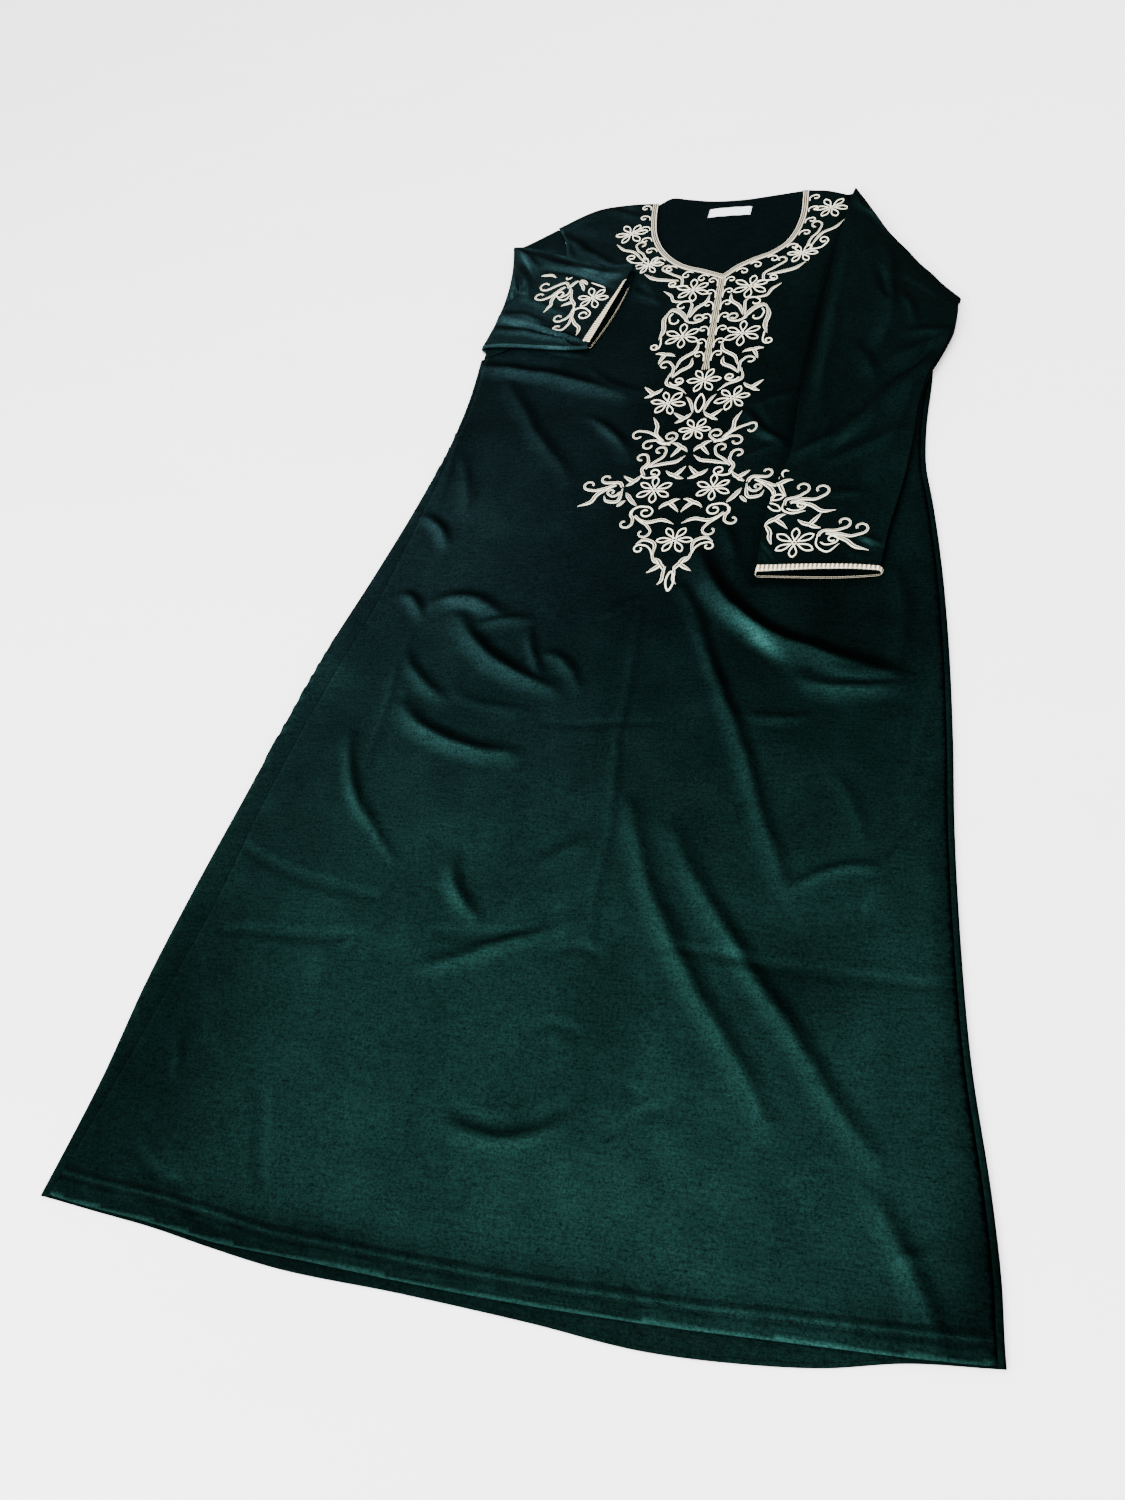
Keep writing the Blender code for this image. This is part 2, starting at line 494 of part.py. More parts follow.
def sleeve_rings(sleeve, count, grow=0.0, part=(0.0, 1.0)):
    """Rings of a flattened sleeve, each a closed loop through the middle of its cloth."""
    keys = np.arange(len(sleeve.sections), dtype=float)
    share = np.concatenate([shares(TOP_SHARES), [1.0], shares(UNDER_SHARES)[::-1], [0.0]])
    layer = np.concatenate([np.ones(TOP_SHARES), [0.0], -np.ones(UNDER_SHARES), [0.0]])
    beyond = np.where(layer == 0.0, np.where(share > 0.5, 1.0, -1.0), 0.0) * (grow + 0.0002)
    start = armhole(sleeve.armhole, share)
    rings = []
    for key in np.linspace(part[0], part[1], count) * keys[-1]:
        fields = (float(smooth(keys, column(sleeve.sections, f), key)) for f in Section._fields)
        row = Section(*fields)
        head, tail = np.array([row.head_x, row.head_y]), np.array([row.tail_x, row.tail_y])
        line = (tail - head) / np.linalg.norm(tail - head)
        out = sleeve.side * np.array([line[1], -line[0]])
        plan = head + np.outer(share, tail - head) + np.outer(4 * row.bow * share * (1 - share), out)
        sewn = np.clip(1.0 - key, 0.0, 1.0)
        plan = sewn * (start + SEAM_GAP * out) + (1 - sewn) * plan + np.outer(beyond, line)
        level = layer * (row.gap / 2 + grow)
        turn = math.radians(min(max(row.turn, 0.0), 180.0))
        plan = plan + np.outer(level * math.sin(turn), out)
        over = np.clip(1.0 - row.turn / 45.0, 0.0, 1.0)
        under = lie(plan[:, 0], plan[:, 1])
        ease = np.clip(key / keys[-1] * 2 - 1.0, 0.0, 1.0) * BRAID * 1.6
        laid = 0.5 * (under + under.max()) + CLOTH + SLEEVE_LIFT + ease + row.gap / 2
        rise = fold_rise(sleeve.folds, plan[:, 0], plan[:, 1]) * (layer > 0)
        height = over * (laid + rise) + (1 - over) * row.height + level * math.cos(turn)
        rings.append(np.column_stack([plan, height]))
    return np.array(rings)


def loft(rings):
    """Quads between rings that follow each other."""
    count, around = rings.shape[:2]
    faces = []
    for i in range(count - 1):
        for j in range(around):
            k = (j + 1) % around
            faces.append((i * around + j, i * around + k, (i + 1) * around + k, (i + 1) * around + j))
    return rings.reshape(-1, 3), faces


def tube_wall(sleeve, count, middle, thickness, part=(0.0, 1.0)):
    """A tube with its wall: an outer and an inner skin, joined at both open ends."""
    outer = sleeve_rings(sleeve, count, middle + thickness / 2, part)
    inner = sleeve_rings(sleeve, count, middle - thickness / 2, part)
    around = outer.shape[1]
    verts, faces = loft(outer)
    under, inside = loft(inner)
    shift = len(verts)
    faces += [tuple(shift + i for i in face)[::-1] for face in inside]
    for ring in (0, count - 1):
        for j in range(around):
            a, b = ring * around + j, ring * around + (j + 1) % around
            faces.append((a, b, b + shift, a + shift))
    return np.vstack([verts, under]), faces


def build_sleeve(sleeve, count):
    """A set-in sleeve, turned over its fold and laid on the front, open at the cuff."""
    verts, faces = tube_wall(sleeve, count, 0.0, CLOTH)
    return make_object(sleeve.name + "_sleeve", verts, faces, VELVET)


def build_cuff_braid(sleeve):
    """Woven band round the outside of a cuff, made from the sleeve's own rings moved out."""
    last = sleeve.sections[-2:]
    run = math.hypot(last[1].head_x - last[0].head_x, last[1].head_y - last[0].head_y)
    reach = BRAID_WIDTH / run / (len(sleeve.sections) - 1)
    middle = CLOTH / 2 + SEAM_GAP + BRAID / 2
    verts, faces = tube_wall(sleeve, 3, middle, BRAID, (1.0 - reach, 1.0))
    return make_object(sleeve.name + "_cuff_braid", verts, faces, CREAM)


def offset_run(run, distance):
    """A run of edge moved to its right-hand side, mitred at corners."""
    step = np.diff(run, axis=0)
    step /= np.linalg.norm(step, axis=1)[:, None]
    normal = np.stack([step[:, 1], -step[:, 0]], axis=1)
    before, after = np.vstack([normal[:1], normal]), np.vstack([normal, normal[-1:]])
    mitre = (before + after) / (1.0 + (before * after).sum(axis=1))[:, None]
    return run + distance * mitre


def build_cords(name, run, inner, outer, cords):
    """Cords sewn side by side along a run, raised over the front from its own surface."""
    profile = [(0.0, 0.0), (1.0, 0.0), (1.0, 0.45)]
    for i in range(2 * cords - 1, 0, -1):
        profile.append((i / (2 * cords), 1.0 if i % 2 else 0.55))
    profile.append((0.0, 0.45))
    rings = []
    edges = [offset_run(run, inner + (outer - inner) * share) for share, _ in profile]
    for j in range(len(run)):
        ring = []
        for places, (_, level) in zip(edges, profile):
            floor = float(lie(places[j, 0], places[j, 1])) + CLOTH / 2 + SEAM_GAP
            ring.append((places[j, 0], places[j, 1], floor + level * CORD_HEIGHT))
        rings.append(ring)
    verts, faces = loft(np.array(rings))
    around = len(profile)
    last = (len(run) - 1) * around
    faces += [tuple(range(around))[::-1], tuple(range(last, last + around))]
    return make_object(name, verts, faces, CREAM)


def build_trims():
    """Cords round the front neck with a notch at the centre, and down the placket below it."""
    neck = join_runs(curve_through(RIGHT_NECK, NECK_STEP), curve_through(LEFT_NECK, NECK_STEP))
    build_cords("neck_braid", neck, 0.0008, 0.0102, 3)
    rows = np.linspace(PLACKET_TOP, PLACKET_END, 12)
    placket = np.stack([np.interp(rows, [1.03, 1.21], [0.0045, 0.0015]), rows], axis=1)
    build_cords("placket_braid", placket, -0.0042, 0.0042, 2)


def build_label():
    """Blank woven label sewn inside the back neck."""
    bpy.ops.mesh.primitive_cube_add(size=1.0)
    label = bpy.context.object
    label.name = label.data.name = "neck_label"
    for collection in list(label.users_collection):
        collection.objects.unlink(label)
    bpy.data.collections[NAME].objects.link(label)
    label.scale = LABEL_SIZE
    label.rotation_euler = (0.0, 0.0, LABEL_TURN)
    label.location = (*LABEL_AT, CLOTH + SEAM_GAP + LABEL_SIZE[2] / 2)
    bpy.ops.object.select_all(action="DESELECT")
    label.select_set(True)
    bpy.context.view_layer.objects.active = label
    bpy.ops.object.transform_apply(location=True, rotation=True, scale=True)
    material = bpy.data.materials.new("neck_label_finish")
    material.use_nodes = True
    shader = material.node_tree.nodes["Principled BSDF"]
    shader.inputs["Base Color"].default_value = (WHITE.red, WHITE.green, WHITE.blue, 1.0)
    shader.inputs["Roughness"].default_value = WHITE.roughness
    label.data.materials.append(material)
    return label


def centre_on_floor(objects):
    """Moves every piece so that the whole stands over the origin with its underside on the floor."""
    bpy.context.view_layer.update()
    graph = bpy.context.evaluated_depsgraph_get()
    corners = []
    for obj in objects:
        mesh = obj.evaluated_get(graph).to_mesh()
        corners.append(np.array([tuple(v.co) for v in mesh.vertices]))
    corners = np.vstack(corners)
    low, high = corners.min(axis=0), corners.max(axis=0)
    shift = -np.array([(low[0] + high[0]) / 2, (low[1] + high[1]) / 2, 0.0])
    for obj in objects:
        for vert in obj.data.vertices:
            vert.co += Vector(shift)


def main():
    clear_scene()
    collection = bpy.data.collections.new(NAME)
    bpy.context.scene.collection.children.link(collection)
    build_back()
    build_front()
    for sleeve, count in zip(SLEEVES, (30, 36)):
        build_sleeve(sleeve, count)
        build_cuff_braid(sleeve)
    build_trims()
    build_label()
    centre_on_floor(list(collection.objects))


main()
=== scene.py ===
"""Looks of a velvet kaftan laid out flat: fine cloth, cords, embroidery, stitches, floor and light.

All sizes are in metres, and the tables that metres() reads are written in millimetres. Places on the
garment are given across from its centre line and up from its hem level, and Layout moves them into
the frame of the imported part. Right and left are the wearer's: the right side is at -X.
"""

from __future__ import annotations

import logging
import math
from dataclasses import dataclass, field
from enum import Enum
from typing import Callable, NamedTuple, Sequence

import bpy
import numpy as np
from mathutils import Matrix, Vector, geometry, noise
from mathutils.bvhtree import BVHTree


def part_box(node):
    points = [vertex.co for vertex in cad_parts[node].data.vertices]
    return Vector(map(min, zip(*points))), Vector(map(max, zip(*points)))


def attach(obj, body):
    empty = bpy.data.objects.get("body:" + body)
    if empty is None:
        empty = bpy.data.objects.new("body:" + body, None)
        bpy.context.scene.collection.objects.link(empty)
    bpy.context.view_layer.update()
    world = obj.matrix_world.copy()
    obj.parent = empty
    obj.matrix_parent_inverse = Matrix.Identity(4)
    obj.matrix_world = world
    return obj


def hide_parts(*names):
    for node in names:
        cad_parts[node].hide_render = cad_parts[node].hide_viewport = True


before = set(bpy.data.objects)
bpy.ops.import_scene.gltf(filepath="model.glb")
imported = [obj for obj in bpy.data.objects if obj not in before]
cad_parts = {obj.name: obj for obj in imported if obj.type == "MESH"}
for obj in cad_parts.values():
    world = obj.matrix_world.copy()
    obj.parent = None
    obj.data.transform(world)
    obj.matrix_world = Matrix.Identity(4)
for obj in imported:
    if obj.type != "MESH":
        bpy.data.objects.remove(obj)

LOG = logging.getLogger("kaftan")
PLAIN_COLUMNS = ("turn", "aim", "flip", "shade")  # of the tables, those that aren't lengths
Colour = tuple[float, float, float]
Triple = tuple[float, float, float]  # a place, a way or a stretch

CLOTH = 0.0012          # velvet, wall thickness
REST_MID = CLOTH / 2    # middle of the cloth on the floor
LIE_MID = 0.0024        # middle of the front where it lies lowest on the back
EDGE_ROLL = 0.0016      # radius of the back's turn over a side edge
ROLL_REACH = 0.018      # how far in from a side edge that turn holds the front up
UNDERARM = 1.082        # level at which the side seams end
SLEEVE_LIFT = 0.0016    # room kept between a sleeve and the body under it
BRAID = 0.0010          # thickness of the cuff braid
BRAID_WIDTH = 0.0100
LIP = 0.0004            # how far the braid is turned in at a cuff
SEAM_GAP = 0.0003       # between two pieces at a seam
SEAM_RISES = (0.0130, 0.0205)  # stitch rows over the front hem


class Side(Enum):
    """Side of the garment, as the sign of X on it."""

    RIGHT = -1
    LEFT = 1

    @property
    def word(self) -> str:
        """Its name as the side edge table has it."""
        return self.name.lower()

    @property
    def inward(self) -> float:
        """Sign of X from its edge toward the middle."""
        return -float(self.value)


def metres(kind: type, *rows: Sequence[float]) -> tuple:
    """A table whose lengths are written in millimetres.

    Args:
        kind: the named row that it is made of.
        rows: values of each row, in the order of its names.

    Returns:
        The named rows, with their lengths in metres.
    """
    scale = [1 if name in PLAIN_COLUMNS else 1000 for name in kind._fields]
    return tuple(kind(*(value / by for value, by in zip(row, scale))) for row in rows)


class Edge(NamedTuple):
    """Side edges of the laid body at one level, and how far inside each its seam lies."""

    up: float
    right: float
    left: float
    right_inset: float
    left_inset: float


EDGES = metres(
    Edge,
    (-40, -450, 328, 6, 5),
    (0, -444, 324, 8, 5),
    (50, -437, 322, 10, 5),
    (100, -431, 317, 14, 5),
    (200, -425, 303, 26, 5),
    (300, -413, 295, 29, 5),
    (400, -398, 290, 24, 5),
    (500, -383, 288, 24, 5),
    (600, -366, 284, 26, 5),
    (700, -343, 277, 21, 5),
    (800, -322, 266, 13, 5),
    (850, -313, 259, 10, 5),
    (900, -305, 258, 7, 5),
    (1000, -298, 263.5, 5, 5),
    (1100, -301, 263, 5, 5),
)


class Point(NamedTuple):
    """One place on a run of cut edge."""

    across: float
    up: float


FRONT_HEM = metres(
    Point,
    (-444, 5), (-390, 0), (-330, -4), (-270, -10),
    (-200, -12), (-100, -15), (0, -16), (100, -14),
    (200, -10), (270, -7), (324, -3),
)
BACK_HEM = metres(
    Point,
    (-446, 3), (-390, -2), (-330, -7), (-275, -14),
    (-220, -20), (-100, -23), (0, -27), (85, -32),
    (150, -29), (210, -22), (260, -11), (326, -4),
)
RIGHT_ARMHOLE = metres(
    Point,
    (-250, 1366), (-231, 1325), (-224, 1270), (-225, 1210),
    (-238, 1150), (-262, 1106), (-298, 1085),
)
RIGHT_SHOULDER = metres(
    Point,
    (-250, 1366), (-197, 1399), (-150, 1407), (-109.5, 1403),
)
RIGHT_NECK = metres(
    Point,
    (-109.5, 1403), (-106, 1360), (-98, 1318), (-85, 1288),
    (-67, 1263), (-46, 1245), (-23, 1234), (1, 1222),
)
LEFT_NECK = metres(
    Point,
    (1, 1222), (19, 1241), (39, 1254), (58, 1263),
    (74, 1278), (84, 1300), (90, 1330), (90.5, 1400),
)
LEFT_SHOULDER = metres(Point, (90.5, 1400), (120, 1392), (149, 1377))
LEFT_ARMHOLE = metres(
    Point,
    (149, 1377), (181, 1310), (207, 1235), (236, 1182),
    (259, 1135), (260.5, 1084),
)
BACK_NECK = metres(
    Point,
    (-109.5, 1403), (-94, 1416), (-68, 1409), (-36, 1399),
    (10, 1394), (55, 1397), (90.5, 1400),
)


class Fold(NamedTuple):
    """A bent line along which cloth stands up, or sinks where its rise is below 0."""

    start_x: float
    start_y: float
    bend_x: float
    bend_y: float
    end_x: float
    end_y: float
    rise: float
    spread: float


BODY_FOLDS = metres(
    Fold,
    (30, 725, 78, 594, 235, 575, 10, 15),
    (150, 560, 190, 548, 240, 560, 4.5, 13),
    (-218, 640, -180, 575, -98, 548, 6, 12.5),
    (-258, 660, -222, 688, -168, 640, 4.5, 12),
    (-192, 628, -165, 642, -138, 636, 3.2, 9.5),
    (-134, 622, -128, 592, -112, 560, 3.5, 7),
    (-112, 590, -88, 595, -66, 548, 3.2, 9.5),
    (-268, 590, -248, 552, -212, 536, 3.4, 9.5),
    (-252, 520, -205, 468, -124, 466, 5.2, 12.5),
    (-302, 795, -275, 782, -266, 755, 5, 10),
    (-296, 676, -278, 672, -266, 646, 4.5, 9),
    (-272, 620, -273, 540, -274, 450, 1.4, 5),
    (-300, 478, -286, 415, -250, 385, 3.5, 8),
    (-21, 650, -17, 470, -6, 270, 1.6, 5.5),
    (20, 680, 90, 520, 152, 345, 4, 9),
    (2, 415, 48, 280, 160, 135, 3.6, 12),
    (52, 385, 120, 270, 235, 120, 3.6, 12),
    (-300, 1068, -235, 1060, -95, 995, 6, 14),
    (-250, 1030, -205, 950, -135, 852, 3.5, 13),
    (-128, 955, -98, 930, -70, 885, 3.5, 10),
    (-152, 345, -150, 312, -120, 292, 3.5, 9),
    (-85, 300, -75, 355, -35, 372, 2.2, 10),
    (-155, 240, -100, 262, -20, 296, 3, 10),
    (282, 470, 250, 390, 222, 325, 3.5, 7),
    (155, 335, 180, 364, 232, 362, 2.5, 7),
    (-95, 106, -50, 90, -6, 120, 2.2, 10),
    (245, 85, 270, 50, 285, 0, 3, 12),
    (60, 950, 78, 915, 110, 892, 3.5, 9),
)
# Finer creases of the body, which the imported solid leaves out.
BODY_CREASES = metres(
    Fold,
    (-156, 275, -80, 266, -23, 297, -1.4, 5.5),
    (-45, 256, -22, 276, -1, 262, -1.2, 5),
    (-48, 188, -26, 204, -4, 189, -1, 5),
    (-94, 120, -52, 98, -7, 132, -1.4, 6),
    (36, 110, 58, 132, 80, 138, -1, 5.5),
    (45, 152, 48, 148, 52, 146, -1, 6),
    (-380, 349, -320, 308, -212, 302, -1.2, 5),
    (-367, 259, -280, 258, -225, 262, -1.2, 5),
    (-206, 330, -210, 290, -232, 258, 1.6, 7),
    (55, 274, 170, 262, 287, 259, -1.2, 5),
    (-100, 507, -40, 503, 22, 506, -0.7, 4),
    (-370, 155, -362, 135, -356, 115, 1.2, 6),
    (-274, 110, -265, 80, -246, 44, -1.4, 5.5),
    (-370, 50, -345, 34, -318, 26, -1.2, 5),
    (-300, 12, -281, 2, -266, 1, -1.2, 5),
    (-255, 395, -240, 372, -212, 342, 1.6, 6),
    (-361, 522, -366, 455, -383, 386, -1, 5),
    (30, 640, 60, 580, 86, 528, 1.2, 5),
    (223, 18, 229, 50, 243, 75, -1.2, 5),
    (253, 54, 266, 60, 279, 64, 1.4, 6),
    (169, 68, 166, 40, 163, 14, 0.8, 4.5),
    (-236, 1348, -200, 1300, -150, 1258, 3.4, 10),
    (-250, 1352, -232, 1372, -190, 1390, 2.4, 8),
    (-243, 1352, -226, 1322, -214, 1286, 2.2, 7),
    (72, 965, 100, 975, 132, 992, 2, 9),
    (59, 872, 80, 890, 100, 892, 2, 9),
    (-112, 1202, -95, 1188, -79, 1176, 2.2, 8),
    (105, 516, 130, 512, 156, 516, 2, 8),
    (281, 580, 265, 500, 246, 433, 1.6, 7),
    (236, 700, 246, 640, 240, 590, 2.4, 11),
    (52, 775, 66, 745, 72, 700, 2.4, 9),
    (-140, 1045, -110, 1005, -72, 1000, 1.8, 10),
    (-186, 1395, -150, 1385, -126, 1366, 2.2, 10),
    (-285, 900, -260, 860, -250, 800, 2.2, 11),
    (-60, 640, -38, 662, -22, 668, 1.2, 6),
    (-200, 545, -165, 520, -120, 520, 1.2, 8),
    (-300, 960, -288, 880, -292, 800, 1.6, 8),
    (190, 455, 205, 430, 215, 390, 1.4, 9),
)


class Section(NamedTuple):
    """A section of a flattened sleeve, from one folded edge of the tube to the other."""

    head_x: float
    head_y: float
    tail_x: float
    tail_y: float
    bow: float
    height: float
    turn: float
    gap: float


class Mouth(NamedTuple):
    """How a cuff gapes: its upper layer's lift and draw back, its lower layer's reach, and a skew."""

    lift: float
    back: float
    reach: float
    skew: float


class Dent(NamedTuple):
    """How far in an edge of a sleeve lies, or how wide a band is, at a share of its length."""

    share: float
    depth: float


RIGHT_SLEEVE = metres(
    Section,
    (-252, 1365.5, -298.5, 1087, 0, 1.6, 180, 1.8),
    (-268, 1352, -298, 1093, 0, 1.7, 180, 2),
    (-287, 1337, -298.5, 1098, -6, 1.8, 180, 2.2),
    (-304, 1327, -300, 1100, -11, 1.9, 180, 2.4),
    (-305.8, 1325.5, -301.8, 1101, -12, 2.6, 135, 2.6),
    (-306.6, 1324.5, -302.6, 1101.5, -12.5, 4.3, 90, 2.8),
    (-305.8, 1323.5, -301.8, 1102, -12.5, 6.1, 45, 3),
    (-304, 1322, -300, 1103, -12, 6.8, 0, 3.4),
    (-287, 1315, -285, 1103, -7, 6.8, 0, 4.4),
    (-255, 1299, -256, 1099, -4, 6.8, 0, 5),
    (-220, 1280, -226, 1093, -2, 6.8, 0, 5.2),
    (-185, 1260, -196, 1087, 0, 6.8, 0, 5.2),
    (-150, 1249, -172, 1084, -1, 6.8, 0, 5.2),
    (-118, 1247, -155, 1083, -6, 6.8, 0, 5),
)
LEFT_SLEEVE = metres(
    Section,
    (151, 1375.5, 262.5, 1090, 0, 1.6, 180, 1.8),
    (159, 1379, 290.5, 1126, -6, 1.9, 180, 2.2),
    (160.6, 1379.8, 292.1, 1126.8, -6.5, 2.6, 135, 2.6),
    (161.3, 1380.2, 292.8, 1127.2, -7, 4.3, 90, 2.8),
    (160.6, 1379.8, 292.1, 1126.8, -7, 6.1, 45, 3),
    (159, 1378, 290.5, 1124, -7, 6.8, 0, 3.4),
    (153, 1338, 289.5, 1098, -8, 6.8, 0, 4.6),
    (148, 1290, 285, 1060, -8, 6.8, 0, 5.4),
    (141, 1220, 272, 1020, -6, 6.8, 0, 5.6),
    (133, 1140, 259, 985, -4, 6.8, 0, 5.6),
    (124, 1050, 250, 940, -2, 6.8, 0, 5.6),
    (119, 960, 246, 890, 0, 6.8, 0, 5.4),
    (117, 880, 240, 838, 0, 6.8, 0, 5.4),
    (106, 825, 233, 795, 0, 6.8, 0, 5.2),
    (97, 770, 225, 750, 0, 6.8, 0, 5.2),
    (95.5, 693, 218, 693, 0, 6.8, 0, 5),
)
RIGHT_SLEEVE_FOLDS = metres(
    Fold,
    (-285, 1300, -200, 1240, -135, 1226, 3.5, 12),
    (-292, 1160, -245, 1135, -175, 1100, 3, 11),
    (-290, 1270, -262, 1235, -258, 1200, 3, 11),
)
RIGHT_SLEEVE_CREASES = metres(
    Fold,
    (-306, 1327, -230, 1300, -165, 1250, 4, 9),
    (-300, 1318, -280, 1292, -258, 1262, 3.4, 7.5),
    (-250, 1256, -200, 1246, -137, 1193, -2.4, 5),
    (-175, 1262, -140, 1262, -116, 1238, 3, 10),
    (-300, 1262, -268, 1230, -285, 1196, 3.6, 10),
    (-302, 1175, -280, 1200, -254, 1252, -2.4, 6),
    (-302, 1160, -262, 1166, -212, 1130, 3.4, 8),
    (-235, 1140, -205, 1112, -172, 1098, 3, 7),
    (-304, 1147, -240, 1140, -165, 1088, -3, 5),
    (-296, 1135, -240, 1122, -165, 1090, 2.2, 6),
    (-262, 1196, -232, 1172, -200, 1160, 2, 7),
)
LEFT_SLEEVE_FOLDS = metres(
    Fold,
    (258, 1005, 210, 930, 130, 868, 4, 14),
    (212, 1150, 225, 1080, 190, 1010, 3, 14),
    (280, 1052, 235, 1040, 200, 1000, 3, 12),
    (228, 900, 185, 868, 160, 850, 3, 11),
)
LEFT_SLEEVE_CREASES = metres(
    Fold,
    (163, 1372, 166, 1335, 196, 1308, 3.5, 7),
    (205, 1235, 220, 1180, 215, 1120, 2.6, 10),
    (226, 1140, 240, 1110, 244, 1085, 2.4, 8),
    (236, 1062, 256, 1070, 284, 1060, 3, 9),
    (262, 1050, 250, 1010, 215, 975, -2.2, 6),
    (262, 1018, 215, 960, 150, 860, 3, 11),
    (246, 985, 232, 900, 205, 830, 2, 9),
    (178, 1045, 196, 1020, 200, 985, 2.6, 10),
    (125, 868, 150, 890, 178, 892, 3, 9),
    (156, 925, 148, 890, 150, 860, 1.8, 7),
    (200, 1190, 210, 1150, 217, 1125, -2, 6),
    (150, 1120, 146, 1020, 142, 920, 1.6, 9),
    (160, 804, 178, 800, 196, 804, 1.8, 8),
    (202, 738, 209, 734, 216, 728, 2.2, 5),
    (188, 722, 196, 716, 204, 717, 1.8, 5),
    (100, 722, 105, 714, 109, 708, 1.6, 4),
)
LEFT_SHOULDER_DENTS = (
    Dent(0.0, 0.0), Dent(0.12, -0.001), Dent(0.28, 0.001), Dent(0.42, 0.008), Dent(0.5, 0.006),
    Dent(0.58, 0.002), Dent(0.7, 0.006), Dent(0.8, 0.001), Dent(0.86, 0.004), Dent(1.0, 0.0),
)
# Width of each cuff band as a share of BRAID_WIDTH, at shares of the way across the cuff.
RIGHT_BAND = (
    Dent(0.0, 0.0), Dent(0.22, 0.0), Dent(0.26, 0.25), Dent(0.35, 0.4), Dent(0.45, 0.65),
    Dent(0.6, 1.12), Dent(0.75, 1.6), Dent(0.9, 1.9), Dent(0.945, 1.9), Dent(0.955, 0.0),
    Dent(1.0, 0.0),
)
LEFT_BAND = (Dent(0.0, 0.86), Dent(0.5, 0.78), Dent(1.0, 0.70))


class Stroke(NamedTuple):
    """A drawn line of cord through four places, ending in a curl of so many degrees and radius."""

    x0: float
    y0: float
    x1: float
    y1: float
    x2: float
    y2: float
    x3: float
    y3: float
    wide: float
    turn: float = 0.0
    radius: float = 0.0


class Motif(NamedTuple):
    """Place of a repeated motif, its aim in degrees, its size, and -1 where it is turned over."""

    x: float
    y: float
    aim: float
    size: float
    flip: int = 1


